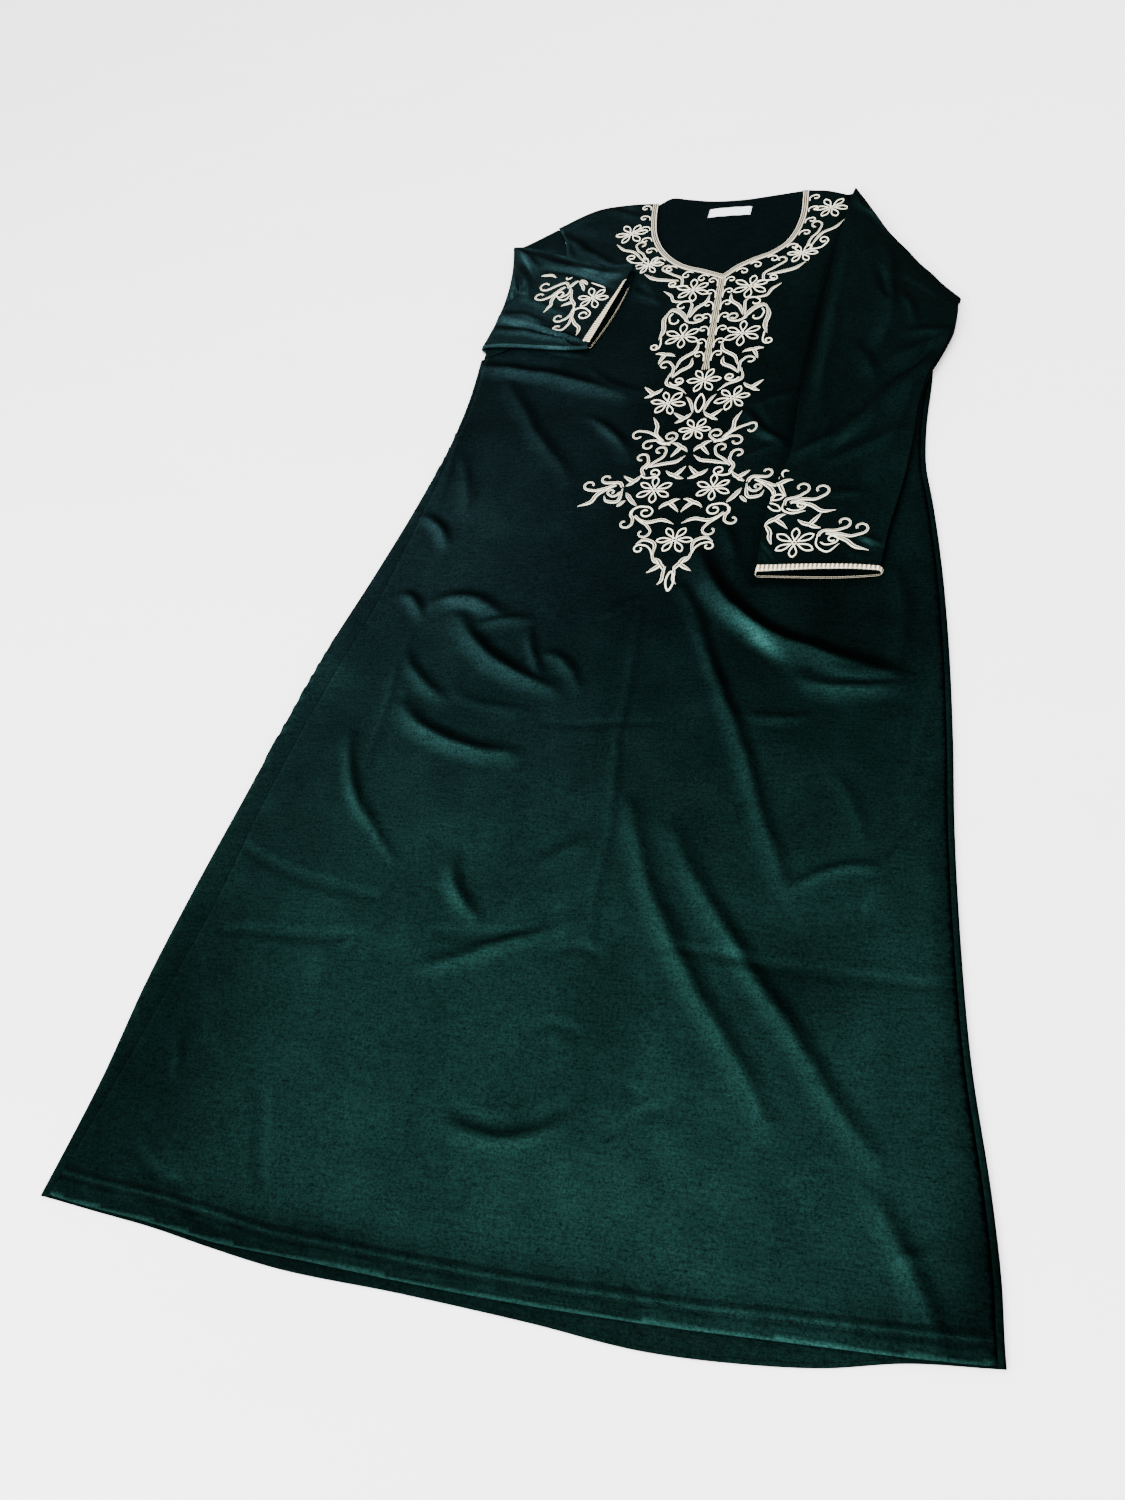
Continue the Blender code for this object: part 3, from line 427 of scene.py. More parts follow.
# Scrolls and leaves of the right half of the bib, which the left half mirrors.
BIB_STROKES = metres(
    Stroke,
    (-108, 1268, -113, 1281, -121, 1290, -125.5, 1300, 3.4, -310, 8),
    (-155, 1311, -143, 1296, -126, 1287, -111, 1265, 4.2),
    (-111, 1262, -119, 1262, -127, 1264.5, -133, 1271, 3, -400, 6.2),
    (-50.5, 1203, -52.5, 1219, -66, 1230, -79, 1240, 4, -290, 7.2),
    (-105, 1236, -92, 1224.5, -76, 1219.5, -56, 1215.5, 5.6),
    (-42, 1201.5, -49, 1203, -56, 1202.5, -63, 1203, 2.6, -430, 5.8),
    (-57, 1202, -53, 1196.5, -46, 1193.5, -39, 1192, 2.6),
    (-34, 1168, -39, 1168.5, -44, 1168, -48, 1164.5, 2.8, 250, 6.5),
    (-73, 1195.5, -62, 1184, -56, 1171, -40, 1168, 4.2),
    (-36, 1169, -31.5, 1161, -32.5, 1148, -35, 1132, 4),
    (-11, 1180, -13.5, 1165, -25, 1152.5, -32, 1135, 5.5),
    (-66, 1096, -62, 1113, -64, 1134, -59, 1150.5, 6.4),
    (-62, 1146, -55, 1152.5, -43, 1145, -32, 1126, 7),
    (-54, 1146, -57, 1141, -57.5, 1136, -56, 1130, 3.2, 220, 6.8),
    (-37, 1131, -31, 1126, -25, 1124, -19, 1125.5, 3.4, 430, 7.6),
    (-63, 1100, -62.5, 1093, -62, 1087, -62.5, 1081.5, 2.8, -430, 6.2),
    (-13, 1085, -15.5, 1068, -31, 1054, -36.5, 1037, 5.5),
    (-17.5, 1055, -18.5, 1041, -30, 1032.5, -39, 1022, 5.5),
    (-40, 1024, -39, 1033, -39.5, 1041, -43.5, 1048, 4.2, 300, 7.6),
    (-17, 991, -27, 1001, -44, 1010.5, -42, 1031, 3.8),
    (-41, 1014, -37, 1009, -32, 1007.5, -27.5, 1009.5, 2.8, 430, 5.8),
    (-16.5, 985.5, -11, 977, -7.5, 967, -5, 955, 4.2),
    (-51, 951, -44.5, 936, -43.5, 921, -33, 908.5, 5),
    (-34, 908, -43, 918, -53, 925, -62, 927.5, 4, 290, 8),
    (-24, 902, -35, 906, -42, 910, -49, 910, 4, 300, 8),
    (-40, 908, -33, 903.5, -26, 904, -20.5, 909, 3.5, 400, 8.2),
    (-48, 852, -51.5, 862, -46, 872, -47, 881, 4.5, 300, 7.5),
    (-48, 863, -39, 873, -30, 881, -27.5, 889, 4, 310, 7.5),
    (-4, 882, -13, 873, -27, 870, -46, 865, 5),
    (-52, 853, -47, 848.5, -41, 847.5, -35, 849, 2.8, 400, 6.5),
    (-54, 789, -52, 798, -45, 802.5, -37, 802, 3.2, -400, 8.5),
    (-53, 797, -53.5, 790, -50.5, 784, -50, 778, 4.2, -290, 8),
    (-49, 789, -42, 781, -34, 774, -29, 767, 4.2, -290, 8.5),
    (-3, 774, -17, 780.5, -33, 777.5, -46, 785, 5),
    (-78, 838.5, -90, 832.5, -100, 829.2, -108.5, 830.2, 5, -300, 8),
    (-70, 834.5, -74, 841.5, -82, 842, -88.5, 841.5, 4.8, -280, 7.3),
    (-89.5, 821, -85, 812, -72, 812, -69.5, 833, 4.5),
    (-71.5, 827, -74.5, 821.5, -79.5, 819.5, -84, 822.5, 3.4, -330, 4.8),
    (-117.5, 804.5, -103.5, 810.5, -96.5, 824, -80, 837, 5.5),
    (-64.5, 825.5, -60.5, 818.5, -55.5, 811, -49.5, 804.5, 5.8),
    (-72, 803, -68.5, 807, -66, 810, -63.5, 813, 4.5),
    (-41, 744, -32, 750.5, -20, 744, -19.5, 728, 4.5),
    (-20, 726, -23, 735, -28, 741, -34, 743, 2.8, 360, 6.2),
    (-20, 731, -19, 724, -16, 718, -9, 714.5, 3.4),
    (-9, 685.5, -5, 691, -4.5, 701, -3, 711, 4),
)
BIB_FLOWERS = metres(
    Motif,
    (-138, 1333, 6, 22.5),
    (-102, 1256, 2, 19.5),
    (-34, 1192, 35, 23.5),
    (-36, 1099, 32, 23.5),
    (-37, 976, -13, 21.5),
    (-32.5, 828.5, 30, 20.5),
)
CENTRE_FLOWERS = metres(
    Motif,
    (1.5, 1012.5, 0, 20.5),
    (1.5, 925.5, 0, 20),
    (1.5, 749.5, 0, 21),
)
BIB_BUDS = metres(
    Motif,
    (-53, 1065, 247, 18.5),
    (-57.5, 994, 137, 18, -1),
    (-15, 946.5, 141, 17, -1),
    (-11.5, 896, 240, 18, -1),
    (-12, 851, 49, 18),
    (-12, 806.5, -48, 18.5, -1),
    (-59, 843.5, 146, 15.5, -1),
    (-9.5, 713, 222, 17, -1),
)
# The pattern's drift when its left half is laid, in metres: shift across and lift at each level.
DRIFT_LEVEL = (0.68, 0.74, 0.83, 0.98, 1.10, 1.192, 1.256, 1.333)
DRIFT_SHIFT = (0.0025, 0.003, 0.0015, 0.003, 0.003, 0.006, -0.002, -0.007)
DRIFT_LIFT = (0.0, 0.0015, -0.0005, 0.001, -0.001, -0.001, -0.004, 0.015)

RIGHT_CUFF_FLOWERS = metres(
    Motif,
    (-164.5, 1181, -10, 21.5),
)
RIGHT_CUFF_BUDS = metres(
    Motif,
    (-192, 1176, 197, 15.5),
)
RIGHT_CUFF_STROKES = metres(
    Stroke,
    (-202, 1208, -208, 1220, -218, 1217, -230, 1209.5, 4.2, -300, 9.8),
    (-208, 1212, -217, 1203, -224, 1194, -234, 1188, 4.4, -290, 9.2),
    (-229, 1161, -221.5, 1172, -222, 1185, -216, 1203, 5),
    (-201, 1206, -200, 1200, -202, 1194, -207, 1190.5, 2.4, -400, 7),
    (-215, 1189, -209, 1183.5, -202, 1184, -198, 1192, 2.6),
    (-201, 1210, -197.5, 1200, -196, 1190, -192, 1179, 4),
    (-180, 1198, -183, 1208, -187, 1216, -190, 1222, 5),
    (-202, 1208, -199, 1214, -195, 1219, -191, 1222, 5),
    (-177, 1211, -181, 1217, -185, 1221, -189, 1223, 5),
    (-173, 1216, -165, 1211, -158, 1207, -151, 1201, 2.6),
    (-187, 1163, -189, 1153, -193, 1144, -200, 1139.5, 4, -300, 8),
    (-187, 1160, -187, 1145, -188.5, 1132, -194, 1121.5, 4.2, -300, 8.5),
    (-173.5, 1106, -173, 1121, -181, 1132, -187.5, 1148, 5),
    (-188, 1158, -180, 1162, -171, 1160, -165, 1154, 3, -420, 9),
    (-189, 1172, -188, 1166, -187, 1161, -188, 1152, 3),
    (-248, 1241, -240, 1241, -232, 1240, -225, 1234, 4.5),
    (-210.5, 1233.5, -209, 1228.5, -205, 1229, -202, 1232, 3),
)
LEFT_CUFF_FLOWERS = metres(
    Motif,
    (130.8, 732.5, 30, 21.8),
    (93, 794.5, -38, 23.5),
)
LEFT_CUFF_BUDS = metres(
    Motif,
    (144.5, 759, 53, 19.5),
    (108.5, 767, -42, 19, -1),
    (109, 819.5, -70, 20.5),
)
LEFT_CUFF_STROKES = metres(
    Stroke,
    (116, 788, 118, 796, 129, 799.5, 137.5, 806, 4, 290, 8.5),
    (122, 791, 134, 796, 147, 795.5, 157, 801, 4.4, 290, 9.2),
    (170, 779.5, 156, 778, 143, 787.5, 123, 792.5, 5),
    (115, 792, 115, 781, 125, 775.5, 139, 779, 2.6),
    (119, 783, 124, 780, 130, 779.5, 135.5, 782, 2.2, 420, 5.6),
    (154, 741, 159, 748.5, 171, 749, 181, 752.5, 4, 290, 8),
    (162, 745, 175, 744, 187, 740.5, 198, 743.5, 4.4, 290, 8.5),
    (206, 720, 192, 725, 182, 735, 163, 745, 5),
    (154.5, 747, 153.5, 728, 165, 718, 176.5, 730, 2.6),
    (157, 732.5, 161, 729, 166, 728.5, 171, 730.5, 2.2, 420, 6.2),
    (98, 760, 104, 749, 104.5, 740, 107.5, 731, 5.5),
    (117, 840, 112.5, 840.5, 110, 836, 112, 830.5, 2.8),
    (93.5, 822.5, 101, 815, 104.5, 804, 101, 793, 3.4),
)


class Shapes:
    """Plane curves that the pieces share."""

    @staticmethod
    def column(rows: Sequence[NamedTuple], name: str) -> np.ndarray:
        """One named column of a table."""
        return np.array([getattr(row, name) for row in rows], float)

    @staticmethod
    def smooth(keys: np.ndarray, values: np.ndarray, at: np.ndarray | float) -> np.ndarray:
        """Values between keys along a cubic that keeps the slope at each key.

        Args:
            keys: rising key positions.
            values: value at each key.
            at: positions to read.

        Returns:
            The value at each position.
        """
        at = np.clip(np.asarray(at, float), keys[0], keys[-1])
        slopes = np.gradient(values, keys)
        i = np.clip(np.searchsorted(keys, at) - 1, 0, len(keys) - 2)
        span = keys[i + 1] - keys[i]
        t = (at - keys[i]) / span
        return (
            (1 + 2 * t) * (1 - t) ** 2 * values[i]
            + t * (1 - t) ** 2 * span * slopes[i]
            + t * t * (3 - 2 * t) * values[i + 1]
            + t * t * (t - 1) * span * slopes[i + 1]
        )

    @staticmethod
    def lengths(run: np.ndarray) -> np.ndarray:
        """Length along a run, from its start to each of its places."""
        return np.concatenate([[0.0], np.cumsum(np.linalg.norm(np.diff(run, axis=0), axis=1))])

    @staticmethod
    def curve(points: Sequence[Point], at: np.ndarray) -> np.ndarray:
        """Places on the smooth curve through outline points.

        Args:
            points: the outline points.
            at: shares of the curve's length.

        Returns:
            The place at each share.
        """
        chord = Shapes.lengths(np.array(points))
        at = np.asarray(at, float) * chord[-1]
        columns = [Shapes.column(points, name) for name in Point._fields]
        return np.stack([Shapes.smooth(chord, column, at) for column in columns], axis=1)

    @staticmethod
    def run(points: Sequence[Point], step: float) -> np.ndarray:
        """Evenly spaced places on the smooth curve through outline points."""
        count = max(2, int(round(Shapes.lengths(np.array(points))[-1] / step)) + 1)
        return Shapes.curve(points, np.linspace(0.0, 1.0, count))

    @staticmethod
    def shares(count: int) -> np.ndarray:
        """Places across a flattened sleeve, closer together at its edges."""
        lean = 0.13
        return 0.5 - 0.5 * np.cos(np.linspace(lean, math.pi - lean, count))

    @staticmethod
    def sewn(across: np.ndarray) -> np.ndarray:
        """Level from which the stitch rows of the front hem are measured."""
        hem = Shapes.smooth(Shapes.column(FRONT_HEM, "across"), Shapes.column(FRONT_HEM, "up"),
                            across)
        return hem + 0.005 * np.clip((-0.22 - across) / 0.05, 0.0, 1.0)

    @staticmethod
    def edge(up: np.ndarray | float, name: str) -> np.ndarray:
        """A column of the side edge table at any level."""
        return Shapes.smooth(Shapes.column(EDGES, "up"), Shapes.column(EDGES, name), up)

    @staticmethod
    def joined(*runs: np.ndarray) -> np.ndarray:
        """One closed outline.

        Args:
            runs: runs of places that follow each other.

        Returns:
            The outline, with each shared end once.
        """
        places: list[np.ndarray] = []
        for run in runs:
            for place in run:
                if not places or np.hypot(*(place - places[-1])) > 1e-6:
                    places.append(place)
        if np.hypot(*(places[0] - places[-1])) < 1e-6:
            places.pop()
        return np.array(places)

    @staticmethod
    def inside(ring: np.ndarray, place: np.ndarray) -> np.ndarray:
        """Finds which places lie inside a closed outline.

        Args:
            ring: the outline.
            place: the places.

        Returns:
            Whether each place lies inside.
        """
        start, after = ring, np.roll(ring, -1, axis=0)
        found = np.zeros(len(place), bool)
        for (x0, y0), (x1, y1) in zip(start, after):
            if y0 == y1:
                continue
            at = x0 + (place[:, 1] - y0) / (y1 - y0) * (x1 - x0)
            found ^= ((y0 > place[:, 1]) != (y1 > place[:, 1])) & (place[:, 0] < at)
        return found

    @staticmethod
    def offset(run: np.ndarray, distance: float | np.ndarray) -> np.ndarray:
        """Moves a run sideways, mitred at corners.

        Args:
            run: its places.
            distance: how far to its right-hand side, the same all along or at each place.

        Returns:
            The moved places.
        """
        step = np.diff(run, axis=0)
        step /= np.maximum(np.linalg.norm(step, axis=1), 1e-9)[:, None]
        normal = np.stack([step[:, 1], -step[:, 0]], axis=1)
        before, after = np.vstack([normal[:1], normal]), np.vstack([normal, normal[-1:]])
        mitre = (before + after) / np.maximum(1.0 + (before * after).sum(axis=1), 0.35)[:, None]
        return run + np.reshape(distance, (-1, 1)) * mitre

    @staticmethod
    def even(run: np.ndarray, step: float) -> np.ndarray:
        """Spaces the places of a run evenly.

        Args:
            run: its places.
            step: about how far apart they come to lie.

        Returns:
            The new places, with the same ends.
        """
        chord = Shapes.lengths(run)
        at = np.linspace(0.0, chord[-1], max(3, int(round(chord[-1] / step)) + 1))
        return np.stack([np.interp(at, chord, run[:, 0]), np.interp(at, chord, run[:, 1])], axis=1)

    @staticmethod
    def beside(
        start: np.ndarray, run: np.ndarray, place: np.ndarray
    ) -> tuple[np.ndarray, np.ndarray, np.ndarray]:
        """Compares each place with each straight piece of a line.

        Args:
            start: first end of each piece.
            run: the way from it to the other end.
            place: the places.

        Returns:
            The way from each first end, the share of the piece that is nearest, and how far that is.
        """
        offset = place[:, None, :] - start[None]
        along = np.clip((offset * run).sum(2) / (run * run).sum(1), 0.0, 1.0)
        return offset, along, np.linalg.norm(offset - along[..., None] * run, axis=2)


class Relief:
    """Heights that folds and creases add to cloth."""

    LOOK = np.array([0.94, -0.33])  # folds are steeper on their left as one looks this way
    LEFT_REACH, RIGHT_REACH = 0.82, 1.05    # how far their sides reach, as shares of the usual
    STRAY = 0.0045      # how far long waves move a fold's line
    TREMBLE = 0.0016    # how far short waves do

    @staticmethod
    def of(folds: Sequence[Fold], across: np.ndarray, up: np.ndarray) -> np.ndarray:
        """Height of the folds at each place, with soft sides and ends.

        Args:
            folds: ridges, and creases that sink.
            across: places across the garment.
            up: places up the garment.

        Returns:
            The height of the strongest fold there.
        """
        place = np.stack([np.ravel(across), np.ravel(up)], axis=1)
        place = place + Relief.wander(place)
        total = np.zeros(len(place))
        for fold in folds:
            t = np.linspace(0.0, 1.0, 14)[:, None]
            start = np.array([fold.start_x, fold.start_y])
            bend = np.array([fold.bend_x, fold.bend_y])
            end = np.array([fold.end_x, fold.end_y])
            line = (1 - t) ** 2 * start + 2 * t * (1 - t) * bend + t * t * end
            reach = 1.6 * fold.spread
            near = (
                (place > line.min(axis=0) - reach) & (place < line.max(axis=0) + reach)
            ).all(axis=1).nonzero()[0]
            if not len(near):
                continue
            first, run = line[:-1], np.diff(line, axis=0)
            offset, along, distance = Shapes.beside(first, run, place[near])
            nearest = distance.argmin(axis=1)
            pick = np.arange(len(near))
            t = (nearest + along[pick, nearest]) / len(run)
            taper = np.sin(np.pi * np.clip(0.08 + 0.84 * t, 0.0, 1.0)) ** 0.7
            way, gap = run[nearest], offset[pick, nearest]
            turned = way[:, 0] * gap[:, 1] - way[:, 1] * gap[:, 0]
            on_left = turned * np.sign(way @ Relief.LOOK) > 0
            if fold.rise < 0:
                side = np.clip(distance[pick, nearest] / reach, 0.0, 1.0)
                profile = 0.5 + 0.5 * np.cos(np.pi * side)
            else:
                reach = reach * np.where(on_left, Relief.LEFT_REACH, Relief.RIGHT_REACH)
                side = np.clip(distance[pick, nearest] / reach, 0.0, 1.0)
                profile = (1 - side) ** 2 * (1 + 0.4 * side)
            lift = fold.rise * taper * profile
            stronger = abs(lift) > abs(total[near])
            total[near[stronger]] = lift[stronger]
        return total.reshape(np.shape(across))

    @staticmethod
    def wave(place: np.ndarray, scale: float, seed: float) -> np.ndarray:
        """Smooth noise about 0 with so many waves a metre."""
        return np.array([noise.noise(Vector((x * scale, y * scale, seed))) for x, y in place])

    @staticmethod
    def wander(place: np.ndarray) -> np.ndarray:
        """How far folds stray from their drawn lines, in long and in short waves.

        Args:
            place: places on the garment.

        Returns:
            The way that each place is moved.
        """
        return np.stack([
            Relief.STRAY * Relief.wave(place, 13.0, slow)
            + Relief.TREMBLE * Relief.wave(place, 42.0, quick)
            for slow, quick in ((1.3, 5.1), (8.9, 2.2))
        ], axis=1)

    @staticmethod
    def swell(across: np.ndarray, up: np.ndarray, height: float) -> np.ndarray:
        """Soft unevenness of cloth that lies loose.

        Args:
            across: places across the garment.
            up: places up the garment.
            height: its usual height.

        Returns:
            The height that it adds at each place, never below 0.
        """
        place = np.stack([np.ravel(across), np.ravel(up) * 0.75], axis=1)
        total = Relief.wave(place, 7.0, 3.7) + 0.42 * Relief.wave(place, 17.0, 6.1)
        total = total + 0.13 * Relief.wave(place, 44.0, 9.4)
        return height * np.clip(0.42 + total, 0.0, 1.5).reshape(np.shape(across))


class Layout:
    """How the garment lies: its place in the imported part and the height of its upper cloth."""

    LABEL_AT = np.array([-0.0058, 1.3665])  # middle of the neck label
    SWELL = 0.0030          # usual unevenness of the body
    SINK = 0.0006           # deepest that a crease presses the front
    ROLL_FADE = 0.03        # height over which the side edges' roll ends at the underarm
    SLEEVE_FADE = 0.012     # distance over which folds end at a sleeve
    EDGE_FADE = 0.02        # distance over which folds end at the left edge

    def __init__(self) -> None:
        """Finds the garment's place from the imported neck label."""
        low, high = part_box("neck_label")
        middle = (np.array(low) + np.array(high)) / 2
        self.shift = np.array([*(middle[:2] - self.LABEL_AT), 0.0])

    @staticmethod
    def depth(sections: Sequence[Section], across: np.ndarray, up: np.ndarray) -> np.ndarray:
        """How deep inside the folded-over part of a sleeve places lie.

        Args:
            sections: the sleeve's table.
            across: places across the garment.
            up: places up the garment.

        Returns:
            The distance from its outline, below 0 outside it.
        """
        over = [row for row in sections if row.turn == 0]
        ring = [(row.head_x, row.head_y) for row in over]
        ring += [(row.tail_x, row.tail_y) for row in reversed(over)]
        ring = np.array(ring)
        run = np.roll(ring, -1, axis=0) - ring
        place = np.stack([np.ravel(across), np.ravel(up)], axis=1)
        distance = Shapes.beside(ring, run, place)[2].min(axis=1)
        within = Shapes.inside(ring, place)
        return np.where(within, distance, -distance).reshape(np.shape(across))

    def lie(self, across: np.ndarray, up: np.ndarray, fine: bool = True) -> np.ndarray:
        """Height of the middle of the body's upper cloth over the floor.

        Args:
            across: places across the garment.
            up: places up the garment.
            fine: whether the finer creases are counted too.

        Returns:
            The height at each place.
        """
        across, up = np.asarray(across, float), np.asarray(up, float)
        height = np.full(np.broadcast(across, up).shape, LIE_MID)
        for inward in (across - Shapes.edge(up, "right"), Shapes.edge(up, "left") - across):
            rise = REST_MID + 2 * EDGE_ROLL - LIE_MID
            away = np.maximum(inward - EDGE_ROLL, 0.0) / ROLL_REACH
            below = np.clip((UNDERARM + self.ROLL_FADE - up) / self.ROLL_FADE, 0.0, 1.0)
            height = np.maximum(height, LIE_MID + rise * np.exp(-away * away) * below)
        folds = Relief.of(BODY_FOLDS, across, up)
        if fine:
            folds = folds + Relief.of(BODY_CREASES, across, up)
            folds = np.maximum(folds, -self.SINK) + Relief.swell(across, up, self.SWELL)
        for sleeve in (RIGHT_SLEEVE, LEFT_SLEEVE):
            folds = folds * np.clip(-self.depth(sleeve, across, up) / self.SLEEVE_FADE, 0.0, 1.0)
        inward = (Shapes.edge(up, "left") - across) / self.EDGE_FADE
        return height + folds * np.clip(inward, 0.0, 1.0)


@dataclass
class Mesh:
    """Places, faces and finishes of a piece while it is being made."""

    verts: list[tuple[float, float, float]] = field(default_factory=list)
    faces: list[tuple[int, ...]] = field(default_factory=list)
    finish: list[int] = field(default_factory=list)
    uvs: list[tuple[float, float]] = field(default_factory=list)

    def add(
        self, verts: np.ndarray, faces: Sequence[tuple[int, ...]], uvs: np.ndarray | None = None,
        finish: int = 0,
    ) -> None:
        """Adds one part of a piece.

        Args:
            verts: its places.
            faces: its faces, counted from its own first place.
            uvs: how far along and across its thread each place lies.
            finish: which of the piece's finishes it has.
        """
        first = len(self.verts)
        self.verts += [tuple(float(c) for c in v) for v in verts]
        self.faces += [tuple(first + i for i in face) for face in faces]
        self.finish += [finish] * len(faces)
        flat = np.zeros((len(verts), 2)) if uvs is None else uvs
        self.uvs += [(float(u), float(v)) for u, v in flat]

    def strip(self, rings: np.ndarray, uvs: np.ndarray, closed: bool, finish: int = 0) -> None:
        """Adds quads between rings that follow each other.

        Args:
            rings: places, ring by ring.
            uvs: how far along and across its thread each place lies.
            closed: whether each ring's last place joins its first.
            finish: which of the piece's finishes the quads have.
        """
        count, around = rings.shape[:2]
        faces = []
        for i in range(count - 1):
            for j in range(around if closed else around - 1):
                k = (j + 1) % around
                faces.append((i * around + j, i * around + k, (i + 1) * around + k,
                              (i + 1) * around + j))
        self.add(rings.reshape(-1, 3), faces, uvs.reshape(-1, 2), finish)

    def build(
        self, name: str, layout: Layout, finishes: Sequence[bpy.types.Material],
        replaces: Sequence[str] = (), slot: str | None = None,
    ) -> bpy.types.Object:
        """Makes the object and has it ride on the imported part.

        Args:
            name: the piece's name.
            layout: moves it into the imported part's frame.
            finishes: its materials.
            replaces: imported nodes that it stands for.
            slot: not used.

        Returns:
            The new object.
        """
        mesh = bpy.data.meshes.new(name)
        mesh.from_pydata([tuple(np.array(v) + layout.shift) for v in self.verts], [], self.faces)
        for material in finishes:
            mesh.materials.append(material)
        mesh.polygons.foreach_set("material_index", self.finish)
        mesh.polygons.foreach_set("use_smooth", [True] * len(self.faces))
        layer = mesh.uv_layers.new(name="thread")
        corner = np.zeros(len(mesh.loops), int)
        mesh.loops.foreach_get("vertex_index", corner)
        layer.data.foreach_set("uv", np.array(self.uvs)[corner].ravel())
        mesh.update()
        piece = bpy.data.objects.new(name, mesh)
        bpy.context.scene.collection.objects.link(piece)
        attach(piece, "root")
        if replaces:
            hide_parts(*replaces)
        LOG.info("%s: %d faces", name, len(self.faces))
        return piece


class Signal:
    """A shader socket that takes part in Python arithmetic."""

    def __init__(self, board: Board, socket: bpy.types.NodeSocket) -> None:
        """Keeps the socket and the board that it is on."""
        self.board, self.socket = board, socket

    def maths(self, operation: str, *others: Signal | float) -> Signal:
        """The result of one Math node on this signal and others."""
        values = dict(enumerate((self, *others)))
        return self.board.node("ShaderNodeMath", {"operation": operation}, values)

    def __add__(self, other: Signal | float) -> Signal:
        """This plus another."""
        return self.maths("ADD", other)

    __radd__ = __add__

    def __mul__(self, other: Signal | float) -> Signal:
        """This times another."""
        return self.maths("MULTIPLY", other)

    __rmul__ = __mul__

    def __sub__(self, other: Signal | float) -> Signal:
        """This less another."""
        return self.maths("SUBTRACT", other)

    def __rsub__(self, other: float) -> Signal:
        """A number less this."""
        return self * -1.0 + other

    def __truediv__(self, other: float) -> Signal:
        """This divided by a number."""
        return self * (1.0 / other)

    def __pow__(self, other: float) -> Signal:
        """This to a power."""
        return self.maths("POWER", other)

    def sine(self) -> Signal:
        """Its sine."""
        return self.maths("SINE")

    def absolute(self) -> Signal:
        """Its size without its sign."""
        return self.maths("ABSOLUTE")

    def fade(self, low: float, high: float) -> Signal:
        """0 at low, 1 at high and smooth between."""
        kind = {"interpolation_type": "SMOOTHSTEP"}
        return self.board.node(
            "ShaderNodeMapRange", kind, {"Value": self, "From Min": low, "From Max": high}
        )


class Board:
    """The node tree of one material."""

    def __init__(self, name: str) -> None:
        """Starts a material with its Principled shader.

        Args:
            name: the material's name.
        """
        self.material = bpy.data.materials.new(name)
        self.material.use_nodes = True
        self.tree = self.material.node_tree
        self.shader = self.tree.nodes["Principled BSDF"]

    def node(
        self, kind: str, settings: dict[str, object], inputs: dict[str | int, object],
        output: str | int = 0,
    ) -> Signal:
        """Adds any node.

        Args:
            kind: the node's type.
            settings: its properties, which are set first.
            inputs: values or signals of its sockets, by name or number.
            output: the socket that is read.

        Returns:
            The signal of that socket.
        """
        made = self.tree.nodes.new(kind)
        for name, value in settings.items():
            setattr(made, name, value)
        for name, value in inputs.items():
            self.feed(made.inputs[name], value)
        return Signal(self, made.outputs[output])

    def feed(self, socket: bpy.types.NodeSocket, value: object) -> None:
        """Sets a socket, or links it to a signal."""
        if isinstance(value, Signal):
            self.tree.links.new(value.socket, socket)
        elif isinstance(value, tuple) and socket.type == "RGBA":
            socket.default_value = (*value, 1.0)
        else:
            socket.default_value = value

    def place(self, stretch: Triple = (1.0, 1.0, 1.0)) -> Signal:
        """Place on the object in metres, stretched along each axis."""
        where = self.node("ShaderNodeTexCoord", {}, {}, "Object")
        return self.node("ShaderNodeMapping", {}, {"Vector": where, "Scale": stretch})

    def grain(self, scale: float, stretch: Triple = (1.0, 1.0, 1.0), detail: float = 2.0) -> Signal:
        """Noise of so many features a metre."""
        inputs = {"Vector": self.place(stretch), "Scale": scale, "Detail": detail}
        return self.node("ShaderNodeTexNoise", {}, inputs, "Fac")

    def part(self, vector: Signal, axis: str) -> Signal:
        """One axis of a vector."""
        return self.node("ShaderNodeSeparateXYZ", {}, {"Vector": vector}, axis)

    def mix(self, first: object, second: object, factor: Signal | float) -> Signal:
        """A colour between two."""
        inputs = {"Factor": factor, 6: first, 7: second}
        return self.node("ShaderNodeMix", {"data_type": "RGBA"}, inputs, 2)

    def relief(self, height: Signal, distance: float, strength: float = 1.0) -> Signal:
        """The normal of a surface with this fine height."""
        inputs = {"Height": height, "Distance": distance, "Strength": strength}
        return self.node("ShaderNodeBump", {}, inputs)

    def finish(self, **sockets: object) -> bpy.types.Material:
        """Feeds the shader's sockets, named with _ for a space, and gives the material."""
        for name, value in sockets.items():
            self.feed(self.shader.inputs[name.replace("_", " ")], value)
        return self.material


@dataclass(frozen=True)
class Viewpoint:
    """Where the camera stands and looks, and the frame that it fills, in pixels."""

    lens: float = 27.84
    sensor: float = 36.0
    wide: int = 1125
    tall: int = 1500
    eye: Triple = (0.31401, -0.81872, 0.90110)
    right: Triple = (0.95690, 0.18525, -0.22368)
    down: Triple = (0.02843, -0.82622, -0.56264)
    forward: Triple = (-0.28904, 0.53202, -0.79587)

    def ground(self, pixel: Sequence[float], level: float) -> np.ndarray:
        """Finds what a pixel of the frame shows.

        Args:
            pixel: its place across and down the frame.
            level: height of the cloth there.

        Returns:
            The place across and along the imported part.
        """
        focal = self.tall * self.lens / self.sensor
        across, down = (pixel[0] - self.wide / 2) / focal, (pixel[1] - self.tall / 2) / focal
        ray = np.array(self.forward) + across * np.array(self.right) + down * np.array(self.down)
        return (np.array(self.eye) + ray * (level - self.eye[2]) / ray[2])[:2]


